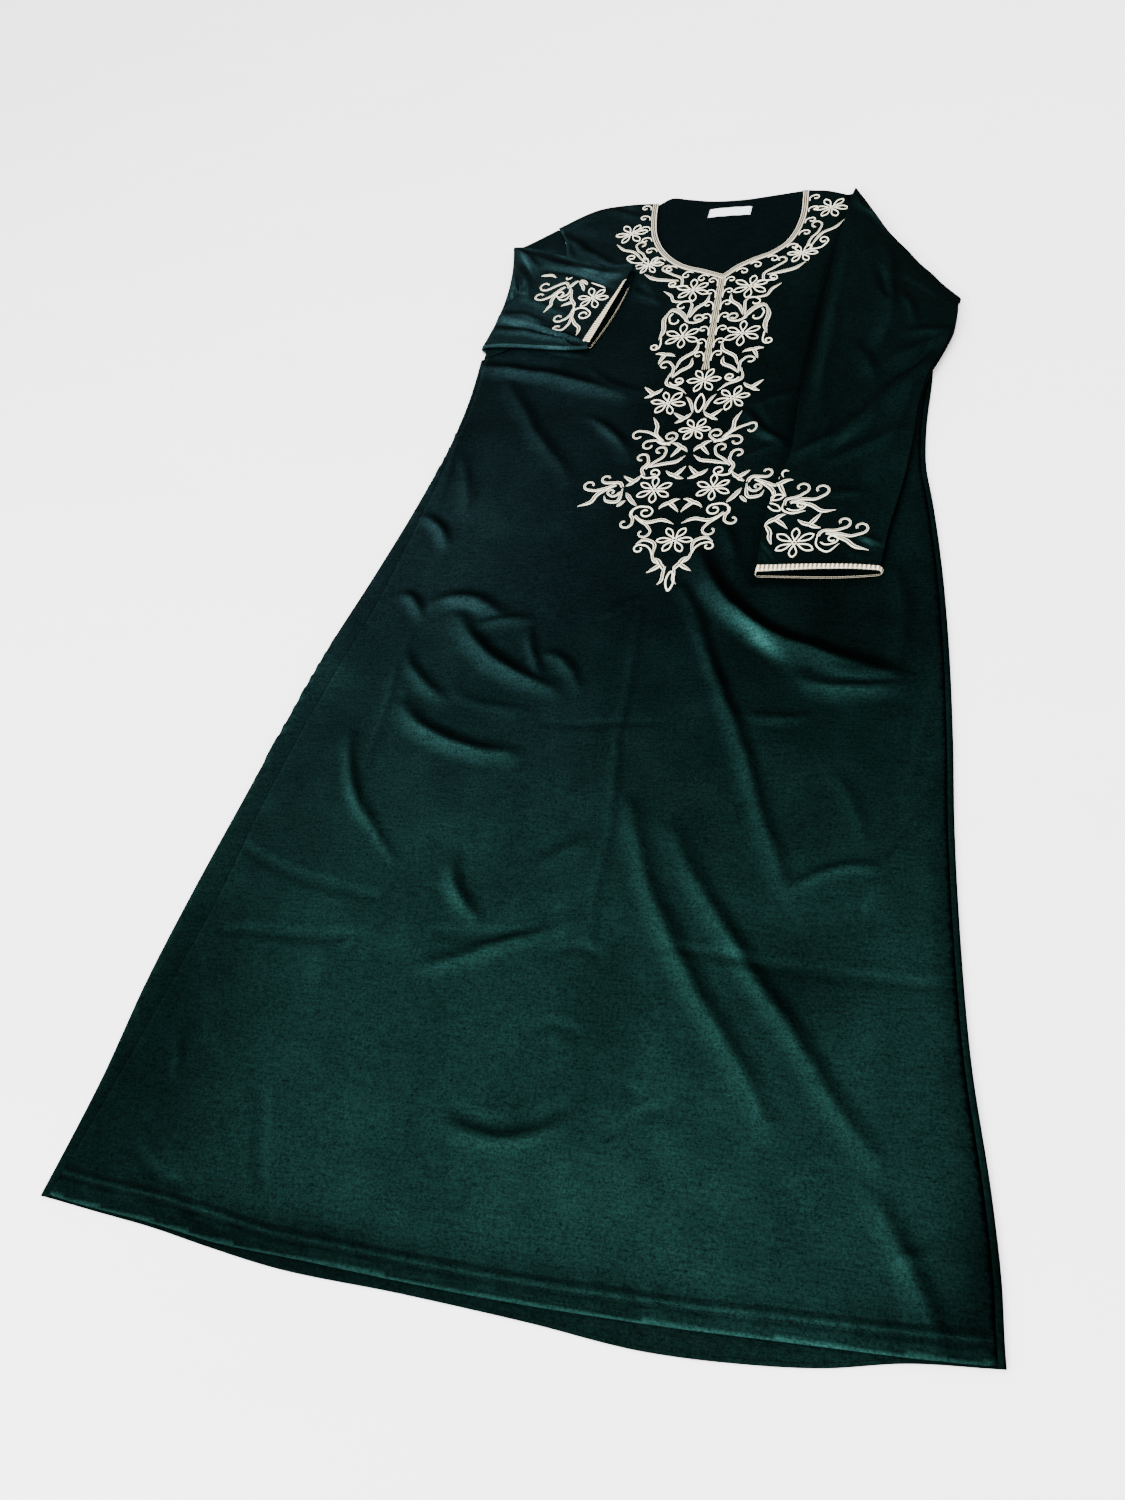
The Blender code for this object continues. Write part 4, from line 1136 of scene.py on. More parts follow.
class Pool(NamedTuple):
    """A patch of painted light on the velvet, or painted shade where shade is below 0, in places the
    pile's own tone: middle, half sizes and turn.
    """

    x: float
    y: float
    wide: float
    tall: float
    turn: float
    shade: float


class Window(NamedTuple):
    """An enlarged part of the camera's frame: its corner in pixels, and its cloth's height."""

    left: float
    top: float
    zoom: float
    level: float


class Streak(NamedTuple):
    """A narrow patch of painted highlight, or painted shade where shade is below 0, by its two ends
    and half its width in the enlarged pixels of its window.
    """

    window: Window
    x0: float
    y0: float
    x1: float
    y1: float
    wide: float
    shade: float

    def pool(self, view: Viewpoint, shift: np.ndarray) -> Pool:
        """Works out where the streak lies on the garment.

        Args:
            view: the camera in whose frame its places are read.
            shift: from the garment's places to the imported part's.

        Returns:
            The patch, longer than the streak because it fades out toward its ends.
        """
        start, end = np.array([self.x0, self.y0]), np.array([self.x1, self.y1])
        across = (end - start)[::-1] * (-1, 1) / np.linalg.norm(end - start)
        left, top, zoom, level = self.window
        start, end, side = (
            view.ground((left + x / zoom, top + y / zoom), level) - shift[:2]
            for x, y in (start, end, start + across * self.wide)
        )
        run = end - start
        return Pool(
            *((start + end) / 2), STREAK_FADE * math.hypot(*run) / 2, math.dist(start, side),
            math.degrees(math.atan2(run[1], run[0])), self.shade,
        )


STREAK_FADE = 1.35  # length of a patch as a share of its streak's
# Painted highlights and shadows: patches lighter where folds and sleeve edges catch the light, darker
# beside the sleeve edges, at the hems and round the embroidery, and broad patches of lighter or
# darker pile.
LIGHT_AND_PILE_POOLS = metres(
    Pool,
    (0, 1000, 130, 520, 0, -0.5),
    (-250, -5, 200, 50, 0, -0.5),
    (120, 660, 60, 80, 0, 0.6),
    (210, 560, 70, 22, -18, 0.8),
    (-225, 1262, 60, 14, -30, -0.5),
    (-260, 800, 180, 260, 0, 0.15),
    (230, 830, 60, 220, 0, 0.45),
    (260, 500, 60, 70, 0, 0.4),
    (280, 5, 80, 50, 0, -0.5),
    (120, 1080, 40, 260, -6, -0.25),
    (127, 1090, 10, 260, -4, -0.7),
    (143, 1090, 10, 260, -4, 0.8),
    (206, 732, 20, 6, -28, 5.0),
    (104, 722, 20, 4, -60, 3.0),
    (20, 70, 340, 200, 0, 0.25),
    (-20, 240, 200, 90, 4, 0.1),
    (-420, 80, 200, 300, 12, -0.65),
    (-370, 240, 120, 220, 0, -0.35),
    (-60, -20, 600, 50, -1, -0.6),
    (310, 250, 55, 550, 3, -0.5),
    (320, 50, 50, 100, 0, -0.7),
    (160, 630, 120, 100, -30, -0.35),
    (130, 500, 200, 100, 0, -0.15),
    (-130, 620, 140, 100, -35, -0.15),
    (-130, 1140, 100, 160, 0, -0.3),
    (-210, 400, 160, 160, 0, 0.2),
    (-50, 125, 90, 50, 0, -0.2),
    (175, 250, 70, 70, 0, -0.45),
    (10, 200, 60, 110, 0, -0.4),
    (-240, 1170, 130, 180, 0, 0.85),
    (-150, 1240, 70, 50, -20, 0.5),
    (-260, 700, 180, 280, 0, 0.6),
    (-360, 570, 60, 140, 0, 0.5),
)
CUFF_WINDOW = Window(505, 234, 6.0, 0.016)
KNEE_WINDOW = Window(351, 556, 1.6, 0.006)
CHEST_WINDOW = Window(439, 161, 2.2, 0.008)
# Painted highlights along ridges and edges of the velvet, with a few painted dark edges beside them.
SHEEN_STREAKS = (
    Streak(KNEE_WINDOW, 545, 40, 720, 195, 20, 1.5),
    Streak(KNEE_WINDOW, 620, 100, 700, 180, 20, 1.2),
    Streak(KNEE_WINDOW, 700, 195, 850, 215, 22, 0.9),
    Streak(KNEE_WINDOW, 740, 175, 880, 185, 16, -0.6),
    Streak(KNEE_WINDOW, 140, 70, 240, 95, 12, 0.5),
    Streak(KNEE_WINDOW, 95, 270, 240, 322, 12, 0.5),
    Streak(CUFF_WINDOW, 400, 175, 560, 240, 17, 2.2),
    Streak(CUFF_WINDOW, 560, 270, 745, 225, 45, 1.9),
    Streak(CUFF_WINDOW, 90, 100, 175, 255, 19, 2.2),
    Streak(CUFF_WINDOW, 20, 300, 150, 370, 14, 1.4),
    Streak(CUFF_WINDOW, 10, 520, 250, 585, 15, 2.0),
    Streak(CUFF_WINDOW, 230, 575, 430, 645, 11, 2.4),
    Streak(CUFF_WINDOW, 210, 650, 500, 700, 22, 1.4),
    Streak(CUFF_WINDOW, 20, 480, 260, 500, 60, 0.5),
    Streak(CUFF_WINDOW, 120, 60, 330, 60, 30, 1.2),
    Streak(CHEST_WINDOW, 440, 258, 480, 312, 14, 1.6),
    Streak(CHEST_WINDOW, 330, 565, 440, 650, 14, 0.9),
    Streak(CHEST_WINDOW, 250, 480, 430, 515, 22, 0.5),
    Streak(CHEST_WINDOW, 690, 520, 740, 600, 14, 0.9),
    Streak(CHEST_WINDOW, 700, 600, 765, 615, 10, 0.8),
    Streak(CHEST_WINDOW, 925, 85, 1000, 170, 10, 2.2),
    Streak(CHEST_WINDOW, 1010, 255, 1100, 310, 10, 0.9),
    Streak(CHEST_WINDOW, 940, 585, 860, 645, 14, 0.9),
    Streak(CHEST_WINDOW, 1010, 330, 940, 430, 26, 0.5),
    Streak(CHEST_WINDOW, 270, 140, 380, 175, 16, 0.6),
    Streak(CHEST_WINDOW, 300, 175, 350, 225, 14, -0.4),
    Streak(CHEST_WINDOW, 395, 85, 440, 110, 12, 1.2),
)


@dataclass(frozen=True)
class VelvetFinish:
    """Dark green velvet, with light and shade painted into its colour by the way its surface faces,
    over the skirt and in patches.
    """

    name: str
    cool: Colour
    warm: Colour
    lit_skirt: Colour
    light_pools: tuple[Pool, ...] = ()
    gain: float = 1.0
    # the way toward the painted light at the hem: surfaces facing it get a painted highlight,
    # surfaces facing away painted shade
    lean: Triple = (-0.33, -0.80, 0.50)

    def pool(self, board: Board, row: Pool, shift: np.ndarray) -> Signal:
        """How deep inside one patch the surface lies.

        Args:
            board: the material.
            row: the patch.
            shift: from the garment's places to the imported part's.

        Returns:
            A signal from 0 outside it to 1 in its middle.
        """
        where = board.node("ShaderNodeTexCoord", {}, {}, "Object")
        inputs = {
            "Vector": where, "Location": (row.x + shift[0], row.y + shift[1], 0.0),
            "Rotation": (0.0, 0.0, math.radians(row.turn)), "Scale": (row.wide, row.tall, 1.0),
        }
        placed = board.node("ShaderNodeMapping", {"vector_type": "TEXTURE"}, inputs)
        kind = {"gradient_type": "SPHERICAL"}
        return board.node("ShaderNodeTexGradient", kind, {"Vector": placed}, "Fac").fade(0.0, 1.0)

    def material(self, shift: np.ndarray) -> bpy.types.Material:
        """Builds the material.

        Args:
            shift: from the garment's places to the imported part's.

        Returns:
            The material.
        """
        board = Board(self.name)
        where = board.place()
        across, level = board.part(where, "X"), board.part(where, "Y")
        patches = board.grain(9.0, detail=3.0)
        blur = (patches - 0.5) * 0.30
        body = board.mix(self.cool, self.warm, (across + blur).fade(-0.10, 0.24))
        # Painted light: the skirt gets a lighter colour than the body, as the light from the hem side
        # falls off toward the neck.
        ground = board.mix(self.lit_skirt, body, (level + blur).fade(-0.55, 0.02))
        # Painted highlight and shade: the colour is made lighter where the surface's normal points
        # the fixed way toward the hem light, and darker where it points away.
        normal = board.node("ShaderNodeNewGeometry", {}, {}, "Normal")
        light_facing = board.node(
            "ShaderNodeVectorMath", {"operation": "DOT_PRODUCT"}, {0: normal, 1: self.lean}, 1
        )
        weft = board.grain(75.0, (1.0, 11.0, 1.0), 3.0)
        pile = board.grain(1100.0, (1.0, 1.5, 1.0), 1.0)
        speck = board.grain(420.0, detail=1.0)
        brushed = board.grain(26.0, (1.3, 0.8, 1.0), 4.0)
        painted_facing = light_facing + (brushed - 0.5) * 0.10 + 0.10
        painted_facing = painted_facing.maths("MAXIMUM", painted_facing * 0.70 + 0.18)
        light = painted_facing.maths("MAXIMUM", 0.12).maths("MINIMUM", 0.98) / 0.60
        light = light**3.4 * self.gain
        tufts = (weft - 0.5) * 1.2 + (pile - 0.5) * 2.4 + (speck - 0.5) * 1.6
        light = light * (tufts + 1.0).maths("MAXIMUM", 0.25)
        # Each patch of painted light or shade, or of pile tone, scales the colour.
        for row in self.light_pools:
            light = light * (self.pool(board, row, shift) * row.shade + 1.0)
        scaled = board.node(
            "ShaderNodeVectorMath", {"operation": "SCALE"}, {0: ground, "Scale": light}
        )
        height = pile * 0.4 + weft * 0.6 + brushed * 0.8
        return board.finish(
            Base_Color=scaled, Roughness=patches * 0.12 + 0.66,
            Normal=board.relief(height, 0.0006, 0.30),
            Specular_IOR_Level=0.002, Sheen_Weight=0.0015, Sheen_Roughness=0.5,
            Sheen_Tint=(0.30, 0.72, 0.66),
        )


@dataclass(frozen=True)
class CordFinish:
    """Ivory embroidery thread, wound slantwise over each cord, with painted beige shade on the sides
    of each cord and in the hollows of the winding, and darker painted shade in the grooves between
    cords.
    """

    name: str
    ivory: Colour = (0.92, 0.88, 0.68)
    shaded_beige: Colour = (0.050, 0.042, 0.020)
    groove_shade: Colour = (0.0100, 0.0083, 0.0035)
    pitch: float = 0.0009

    def material(self) -> bpy.types.Material:
        """Builds the material.

        Returns:
            The material.
        """
        board = Board(self.name)
        thread = board.node("ShaderNodeUVMap", {"uv_map": "thread"}, {})
        along, across = board.part(thread, "X"), board.part(thread, "Y")
        side = (across * 2.0 - 1.0).absolute()
        twist = ((along / self.pitch + across * 1.3) * (2 * math.pi)).sine() * 0.5 + 0.5
        worn = board.grain(160.0, detail=3.0)
        # Painted shade: beige toward each cord's sides, and near black in the grooves between cords
        # that lie side by side.
        colour = board.mix(self.ivory, self.shaded_beige, side.fade(0.05, 0.28) * 0.92)
        colour = board.mix(colour, self.groove_shade, side.fade(0.42, 0.72))
        colour = board.mix(colour, self.shaded_beige, (worn - 0.45).fade(0.0, 0.4) * 0.18)
        # Painted shade in the hollows between turns of the winding.
        colour = board.mix(colour, self.shaded_beige, (1.0 - twist) * 0.12)
        return board.finish(
            Base_Color=colour, Roughness=worn * 0.15 + 0.45,
            Normal=board.relief(twist, 0.0003, 0.6), Sheen_Weight=0.08,
        )


@dataclass(frozen=True)
class BraidFinish:
    """Woven cuff braid: ivory ribs with dark gold between them, the gold darkened by painted shade in
    the hollows between ribs.
    """

    name: str
    ivory: Colour = (0.70, 0.63, 0.45)
    gold: Colour = (0.070, 0.044, 0.015)
    pitch: float = 0.0044

    def material(self) -> bpy.types.Material:
        """Builds the material.

        Returns:
            The material.
        """
        board = Board(self.name)
        thread = board.node("ShaderNodeUVMap", {"uv_map": "thread"}, {})
        along, across = board.part(thread, "X"), board.part(thread, "Y")
        rib = ((along / self.pitch) * (2 * math.pi)).sine() * 0.5 + 0.5
        row = ((across * 3.0) * (2 * math.pi)).sine() * 0.5 + 0.5
        selvage = ((across * 2.0 - 1.0).absolute()).fade(0.70, 0.86)
        weave = board.grain(500.0, detail=2.0)
        # Between the ribs the colour goes to the dark gold: gold thread with painted shade in the
        # hollows.
        colour = board.mix(self.gold, self.ivory, (rib + row * 0.25).fade(0.30, 1.00))
        colour = board.mix(colour, self.ivory, selvage * 0.45)
        colour = board.mix(colour, self.gold, weave.fade(0.45, 0.8) * 0.25)
        height = rib * 0.7 + row * 0.3 + selvage * 0.4
        return board.finish(
            Base_Color=colour, Roughness=weave * 0.2 + 0.45,
            Normal=board.relief(height, 0.0006, 0.7),
        )


@dataclass(frozen=True)
class PlainFinish:
    """Satin, thread or floor: one colour with a fine weave in it."""

    name: str
    colour: Colour
    second: Colour
    scale: float
    roughness: float
    relief: float = 0.0002
    gloss: float = 0.5

    def material(self) -> bpy.types.Material:
        """Builds the material.

        Returns:
            The material.
        """
        board = Board(self.name)
        weave = board.grain(self.scale, (1.0, 3.0, 1.0), 3.0)
        return board.finish(
            Base_Color=board.mix(self.colour, self.second, weave.fade(0.35, 0.75)),
            Roughness=weave * 0.1 + self.roughness,
            Normal=board.relief(weave, self.relief, 0.4), Specular_IOR_Level=self.gloss,
        )


@dataclass
class Finishes:
    """All finishes of the garment."""

    shift: np.ndarray
    view: Viewpoint
    velvet: bpy.types.Material = field(init=False)
    inside: bpy.types.Material = field(init=False)
    cord: bpy.types.Material = field(init=False)
    neck: bpy.types.Material = field(init=False)
    placket: bpy.types.Material = field(init=False)
    braid: bpy.types.Material = field(init=False)
    label: bpy.types.Material = field(init=False)
    thread: bpy.types.Material = field(init=False)

    def __post_init__(self) -> None:
        """Builds every material once."""
        # Narrow patches of painted highlight and shade on the velvet.
        sheen_streaks = tuple(row.pool(self.view, self.shift) for row in SHEEN_STREAKS)
        self.velvet = VelvetFinish(
            "bottle_green_velvet", (0.00098, 0.0026, 0.0029), (0.00045, 0.00172, 0.00158),
            (0.00172, 0.00712, 0.00607), LIGHT_AND_PILE_POOLS + sheen_streaks,
        ).material(self.shift)
        self.inside = VelvetFinish(
            "velvet_wrong_side", (0.00052, 0.00143, 0.00172), (0.00038, 0.00127, 0.00143),
            (0.00097, 0.00353, 0.00308), gain=1.15,
        ).material(self.shift)
        self.cord = CordFinish("ivory_cord").material()
        self.neck = CordFinish("cream_cord", (0.62, 0.57, 0.43), (0.045, 0.036, 0.016)).material()
        self.placket = CordFinish(
            "beige_cord", (0.50, 0.45, 0.30), (0.050, 0.039, 0.016), (0.007, 0.0056, 0.0022)
        ).material()
        self.braid = BraidFinish("woven_braid").material()
        self.label = PlainFinish(
            "white_satin", (0.80, 0.84, 0.86), (0.68, 0.74, 0.78), 900.0, 0.35
        ).material()
        # The stitch thread is darker than the velvet: painted shade of the dimples that the stitches
        # press into the cloth.
        self.thread = PlainFinish(
            "green_thread", (0.0003, 0.0011, 0.0010), (0.0006, 0.0022, 0.0018), 1200.0, 0.8,
            gloss=0.02,
        ).material()


def rim(piece: bpy.types.Object) -> None:
    """Gives a panel the thickness of its cloth at its cut edges, in its second finish.

    Args:
        piece: the panel.
    """
    wall = piece.modifiers.new("edge", "SOLIDIFY")
    wall.thickness = CLOTH
    wall.offset = -1.0
    wall.use_rim_only = True
    wall.material_offset_rim = 1


@dataclass
class FrontPanel:
    """Front of the kaftan, with its folds, creases and turned hem."""

    layout: Layout
    finishes: Finishes
    spacing: float = 0.0040
    seam_dip: float = 0.0006
    seam_spread: float = 0.0022
    hem_rise: float = 0.0007
    hem_depth: float = 0.023
    hem_slope: float = 0.003
    stitch_dip: float = 0.0007
    stitch_spread: float = 0.0012
    pucker_rise: float = 0.0006
    pucker_spread: float = 0.0050
    row_step: float = 0.0022
    row_clear: float = 0.0040

    def outline(self) -> np.ndarray:
        """Cut edge of the front, anticlockwise from the hem.

        Returns:
            The closed outline.
        """
        gap, step = SEAM_GAP / 2, self.spacing
        levels = np.linspace(0.0, UNDERARM, int(UNDERARM / step))[1:]
        hem = Shapes.run(FRONT_HEM, step)
        left, right = (
            np.stack([Shapes.edge(levels, side.word)
                      + side.inward * (Shapes.edge(levels, side.word + "_inset") + gap),
                      levels], axis=1)
            for side in (Side.LEFT, Side.RIGHT)
        )
        start = np.array([[right[0, 0], 0.005]])
        end = np.array([[left[0, 0], -0.003]])
        hem = hem[(hem[:, 0] > start[0, 0] + 0.003) & (hem[:, 0] < end[0, 0] - 0.003)]
        at = Shapes.shares(70)
        return Shapes.joined(
            start, hem, end, left, Shapes.curve(LEFT_ARMHOLE, at)[::-1],
            Shapes.run(LEFT_SHOULDER[::-1], step), Shapes.run(LEFT_NECK[::-1], step),
            Shapes.run(RIGHT_NECK[::-1], step), Shapes.run(RIGHT_SHOULDER[::-1], step),
            Shapes.curve(RIGHT_ARMHOLE, at), right[::-1],
        )

    def build(self) -> bpy.types.Object:
        """Makes the panel.

        Returns:
            The panel.
        """
        outline = self.outline()
        hem_run = Shapes.run(FRONT_HEM, self.spacing)[2:-2]
        hem_run[:, 1] = Shapes.sewn(hem_run[:, 0])
        lines = [hem_run + (0.0, rise + shift) for rise in SEAM_RISES
                 for shift in (-self.row_step, 0.0, self.row_step)]
        inner = PanelCut.fill(outline, self.spacing)
        near = min(SEAM_RISES) - self.row_clear, max(SEAM_RISES) + self.row_clear
        above = inner[:, 1] - Shapes.sewn(inner[:, 0])
        inner = inner[(above < near[0]) | (above > near[1])]
        flat, faces = PanelCut.triangles(outline, inner, lines)
        height = self.layout.lie(flat[:, 0], flat[:, 1]) + CLOTH / 2
        away = PanelCut.clearance(outline, flat, 0.02)
        dip = np.where(flat[:, 1] < 0.02, 0.25, 1.0) * self.seam_dip
        height -= dip * np.exp(-((away / self.seam_spread) ** 2))
        above = flat[:, 1] - Shapes.sewn(flat[:, 0])
        height += self.hem_rise * np.clip((self.hem_depth - above) / self.hem_slope, 0.0, 1.0)
        pucker = 0.5 + Relief.wave(flat * (1.0, 0.3), 70.0, 4.4)
        for rise in SEAM_RISES:
            off = above - rise
            height -= self.stitch_dip * np.exp(-((off / self.stitch_spread) ** 2))
            height += self.pucker_rise * pucker * np.exp(-((off / self.pucker_spread) ** 2))
        mesh = Mesh()
        mesh.add(np.column_stack([flat, height]), faces)
        piece = mesh.build("front_cloth", self.layout, [self.finishes.velvet, self.finishes.inside],
                           ["front_panel"], "velvet")
        rim(piece)
        return piece


class PanelCut:
    """Triangles over a flat cut edge."""

    @staticmethod
    def clearance(outline: np.ndarray, place: np.ndarray, reach: float) -> np.ndarray:
        """Measures how far places are from an outline's places.

        Args:
            outline: the outline.
            place: the places.
            reach: the most that is told.

        Returns:
            The distance of each place.
        """
        found, batch = np.full(len(place), reach), 4000
        for start in range(0, len(place), batch):
            part = place[start:start + batch]
            gap = np.hypot(*(part[:, None] - outline[None]).T).T
            found[start:start + batch] = np.minimum(gap.min(axis=1), reach)
        return found

    @staticmethod
    def fill(outline: np.ndarray, spacing: float) -> np.ndarray:
        """Fills an outline with places, clear of its edge.

        Args:
            outline: the outline.
            spacing: how far apart they lie.

        Returns:
            The places.
        """
        low, high = outline.min(axis=0), outline.max(axis=0)
        rows = np.arange(low[1], high[1], spacing * math.sqrt(0.75))
        x, y = np.meshgrid(np.arange(low[0], high[0], spacing), rows)
        x = x + np.where(np.arange(len(rows))[:, None] % 2 == 0, 0.0, spacing / 2)
        place = np.stack([x.ravel(), y.ravel()], axis=1)
        place = place[Shapes.inside(outline, place)]
        return place[PanelCut.clearance(outline, place, spacing) > 0.55 * spacing]

    @staticmethod
    def triangles(
        outline: np.ndarray, inner: np.ndarray, lines: Sequence[np.ndarray] = ()
    ) -> tuple[np.ndarray, list[tuple[int, ...]]]:
        """Joins places with triangles.

        Args:
            outline: the closed outline.
            inner: places inside it.
            lines: runs of places along which it bends.

        Returns:
            All the places, and the triangles.
        """
        points = [Vector(p) for p in np.vstack([outline, inner, *lines])]
        count = len(outline)
        edges = [(i, (i + 1) % count) for i in range(count)]
        at = count + len(inner)
        for line in lines:
            edges += [(i, i + 1) for i in range(at, at + len(line) - 1)]
            at += len(line)
        verts, _, faces, _, _, _ = geometry.delaunay_2d_cdt(points, edges, [], 1, 1e-7)
        return np.array([tuple(v) for v in verts]), [tuple(f) for f in faces]


@dataclass
class BackPanel:
    """Back of the kaftan: flat on the floor and brought round both side edges to the seams."""

    layout: Layout
    finishes: Finishes
    spacing: float = 0.0060
    turn: float = math.pi * EDGE_ROLL
    seam_dip: float = 0.0006
    seam_spread: float = 0.003
    hem_depth: float = 0.0135

    def centre(self, side: Side, rows: np.ndarray) -> np.ndarray:
        """Middle of the turn over a side edge, at each level."""
        return Shapes.edge(rows, side.word) + side.inward * EDGE_ROLL

    def side(self, side: Side, past: float | np.ndarray, rows: np.ndarray) -> np.ndarray:
        """Places of the flat pattern so far past a side edge."""
        return np.stack([self.centre(side, rows) - side.inward * past, rows], axis=1)

    def wrap(self, pattern: np.ndarray) -> tuple[np.ndarray, np.ndarray]:
        """Bends the pattern round the side edges.

        Args:
            pattern: flat places.

        Returns:
            Laid places on the pile side, and whether each lies past an edge.
        """
        place, height = pattern.copy(), np.full(len(pattern), REST_MID)
        wrapped = np.zeros(len(pattern), bool)
        for side in Side:
            sign, centre = side.inward, self.centre(side, pattern[:, 1])
            past = sign * (centre - pattern[:, 0])
            low = pattern[:, 1] < UNDERARM + 1e-4
            arc, over = low & (past > 0) & (past <= self.turn), low & (past > self.turn)
            angle, radius = past / EDGE_ROLL, EDGE_ROLL + CLOTH / 2
            place[arc, 0] = (centre - sign * radius * np.sin(angle))[arc]
            height[arc] = (REST_MID + EDGE_ROLL - radius * np.cos(angle))[arc]
            place[over, 0] = (centre + sign * (past - self.turn))[over]
            inset = Shapes.edge(pattern[:, 1], side.word + "_inset")
            seam = 1 - (inset + self.turn - EDGE_ROLL - past) / self.seam_spread
            dip = self.seam_dip * np.clip(seam, 0.0, 1.0) ** 2
            lift = self.layout.lie(place[:, 0], place[:, 1]) + CLOTH / 2 - dip
            height[over] = lift[over]
            wrapped |= arc | over
        return np.column_stack([place, height]), wrapped

    def build(self) -> bpy.types.Object:
        """Makes the panel, its pile side out and its wrong side up inside the neck.

        Returns:
            The panel.
        """
        gap, step = SEAM_GAP / 2, 0.0080
        levels = np.linspace(0.0, UNDERARM, int(UNDERARM / step))[1:]
        steps = self.turn * np.linspace(1.0, 0.0, 9)

        def seam(side: Side, rows: np.ndarray) -> np.ndarray:
            """Places of the flat pattern along a side seam."""
            past = self.turn + Shapes.edge(rows, side.word + "_inset") - EDGE_ROLL - gap
            return self.side(side, past, rows)

        hem = Shapes.run(BACK_HEM, 0.008)
        hem = hem[(hem[:, 0] > Shapes.edge(0.0, "right") + 0.006)
                  & (hem[:, 0] < Shapes.edge(0.0, "left") - 0.006)]
        foot_right, foot_left, top = np.array([0.0025]), np.array([-0.004]), np.array([UNDERARM])
        at = Shapes.shares(50)
        outline = Shapes.joined(
            seam(Side.RIGHT, foot_right),
            *[self.side(Side.RIGHT, past, foot_right) for past in steps],
            hem, *[self.side(Side.LEFT, past, foot_left) for past in steps[::-1]],
            seam(Side.LEFT, foot_left), seam(Side.LEFT, levels),
            *[self.side(Side.LEFT, past, top) for past in steps],
            Shapes.curve(LEFT_ARMHOLE, at)[::-1], Shapes.run(LEFT_SHOULDER[::-1], 0.006),
            Shapes.run(BACK_NECK[::-1], 0.004), Shapes.run(RIGHT_SHOULDER[::-1], 0.006),
            Shapes.curve(RIGHT_ARMHOLE, at),
            *[self.side(Side.RIGHT, past, top) for past in steps[::-1]],
            seam(Side.RIGHT, levels[::-1]),
        )
        lines = []
        for side, foot in ((Side.RIGHT, foot_right), (Side.LEFT, foot_left)):
            rows = np.concatenate([foot, levels])
            lines += [self.side(side, past, rows) for past in steps]
        inner = PanelCut.fill(outline, self.spacing)
        for side in Side:
            past = (self.centre(side, inner[:, 1]) - inner[:, 0]) * side.inward
            inner = inner[(past < -0.002) | (past > self.turn + 0.002)]
        flat, faces = PanelCut.triangles(outline, inner, lines)
        places, wrapped = self.wrap(flat)
        places[~wrapped, 2] = CLOTH
        mesh = Mesh()
        mesh.add(places, faces)
        hem_line = Shapes.smooth(Shapes.column(BACK_HEM, "across"), Shapes.column(BACK_HEM, "up"),
                                 flat[:, 0])
        piled = wrapped | (flat[:, 1] < hem_line + self.hem_depth)
        mesh.finish = [0 if piled[list(face)].all() else 1 for face in faces]
        piece = mesh.build("back_cloth", self.layout, [self.finishes.velvet, self.finishes.inside],
                           ["back_panel"], "velvet_inside")
        return piece


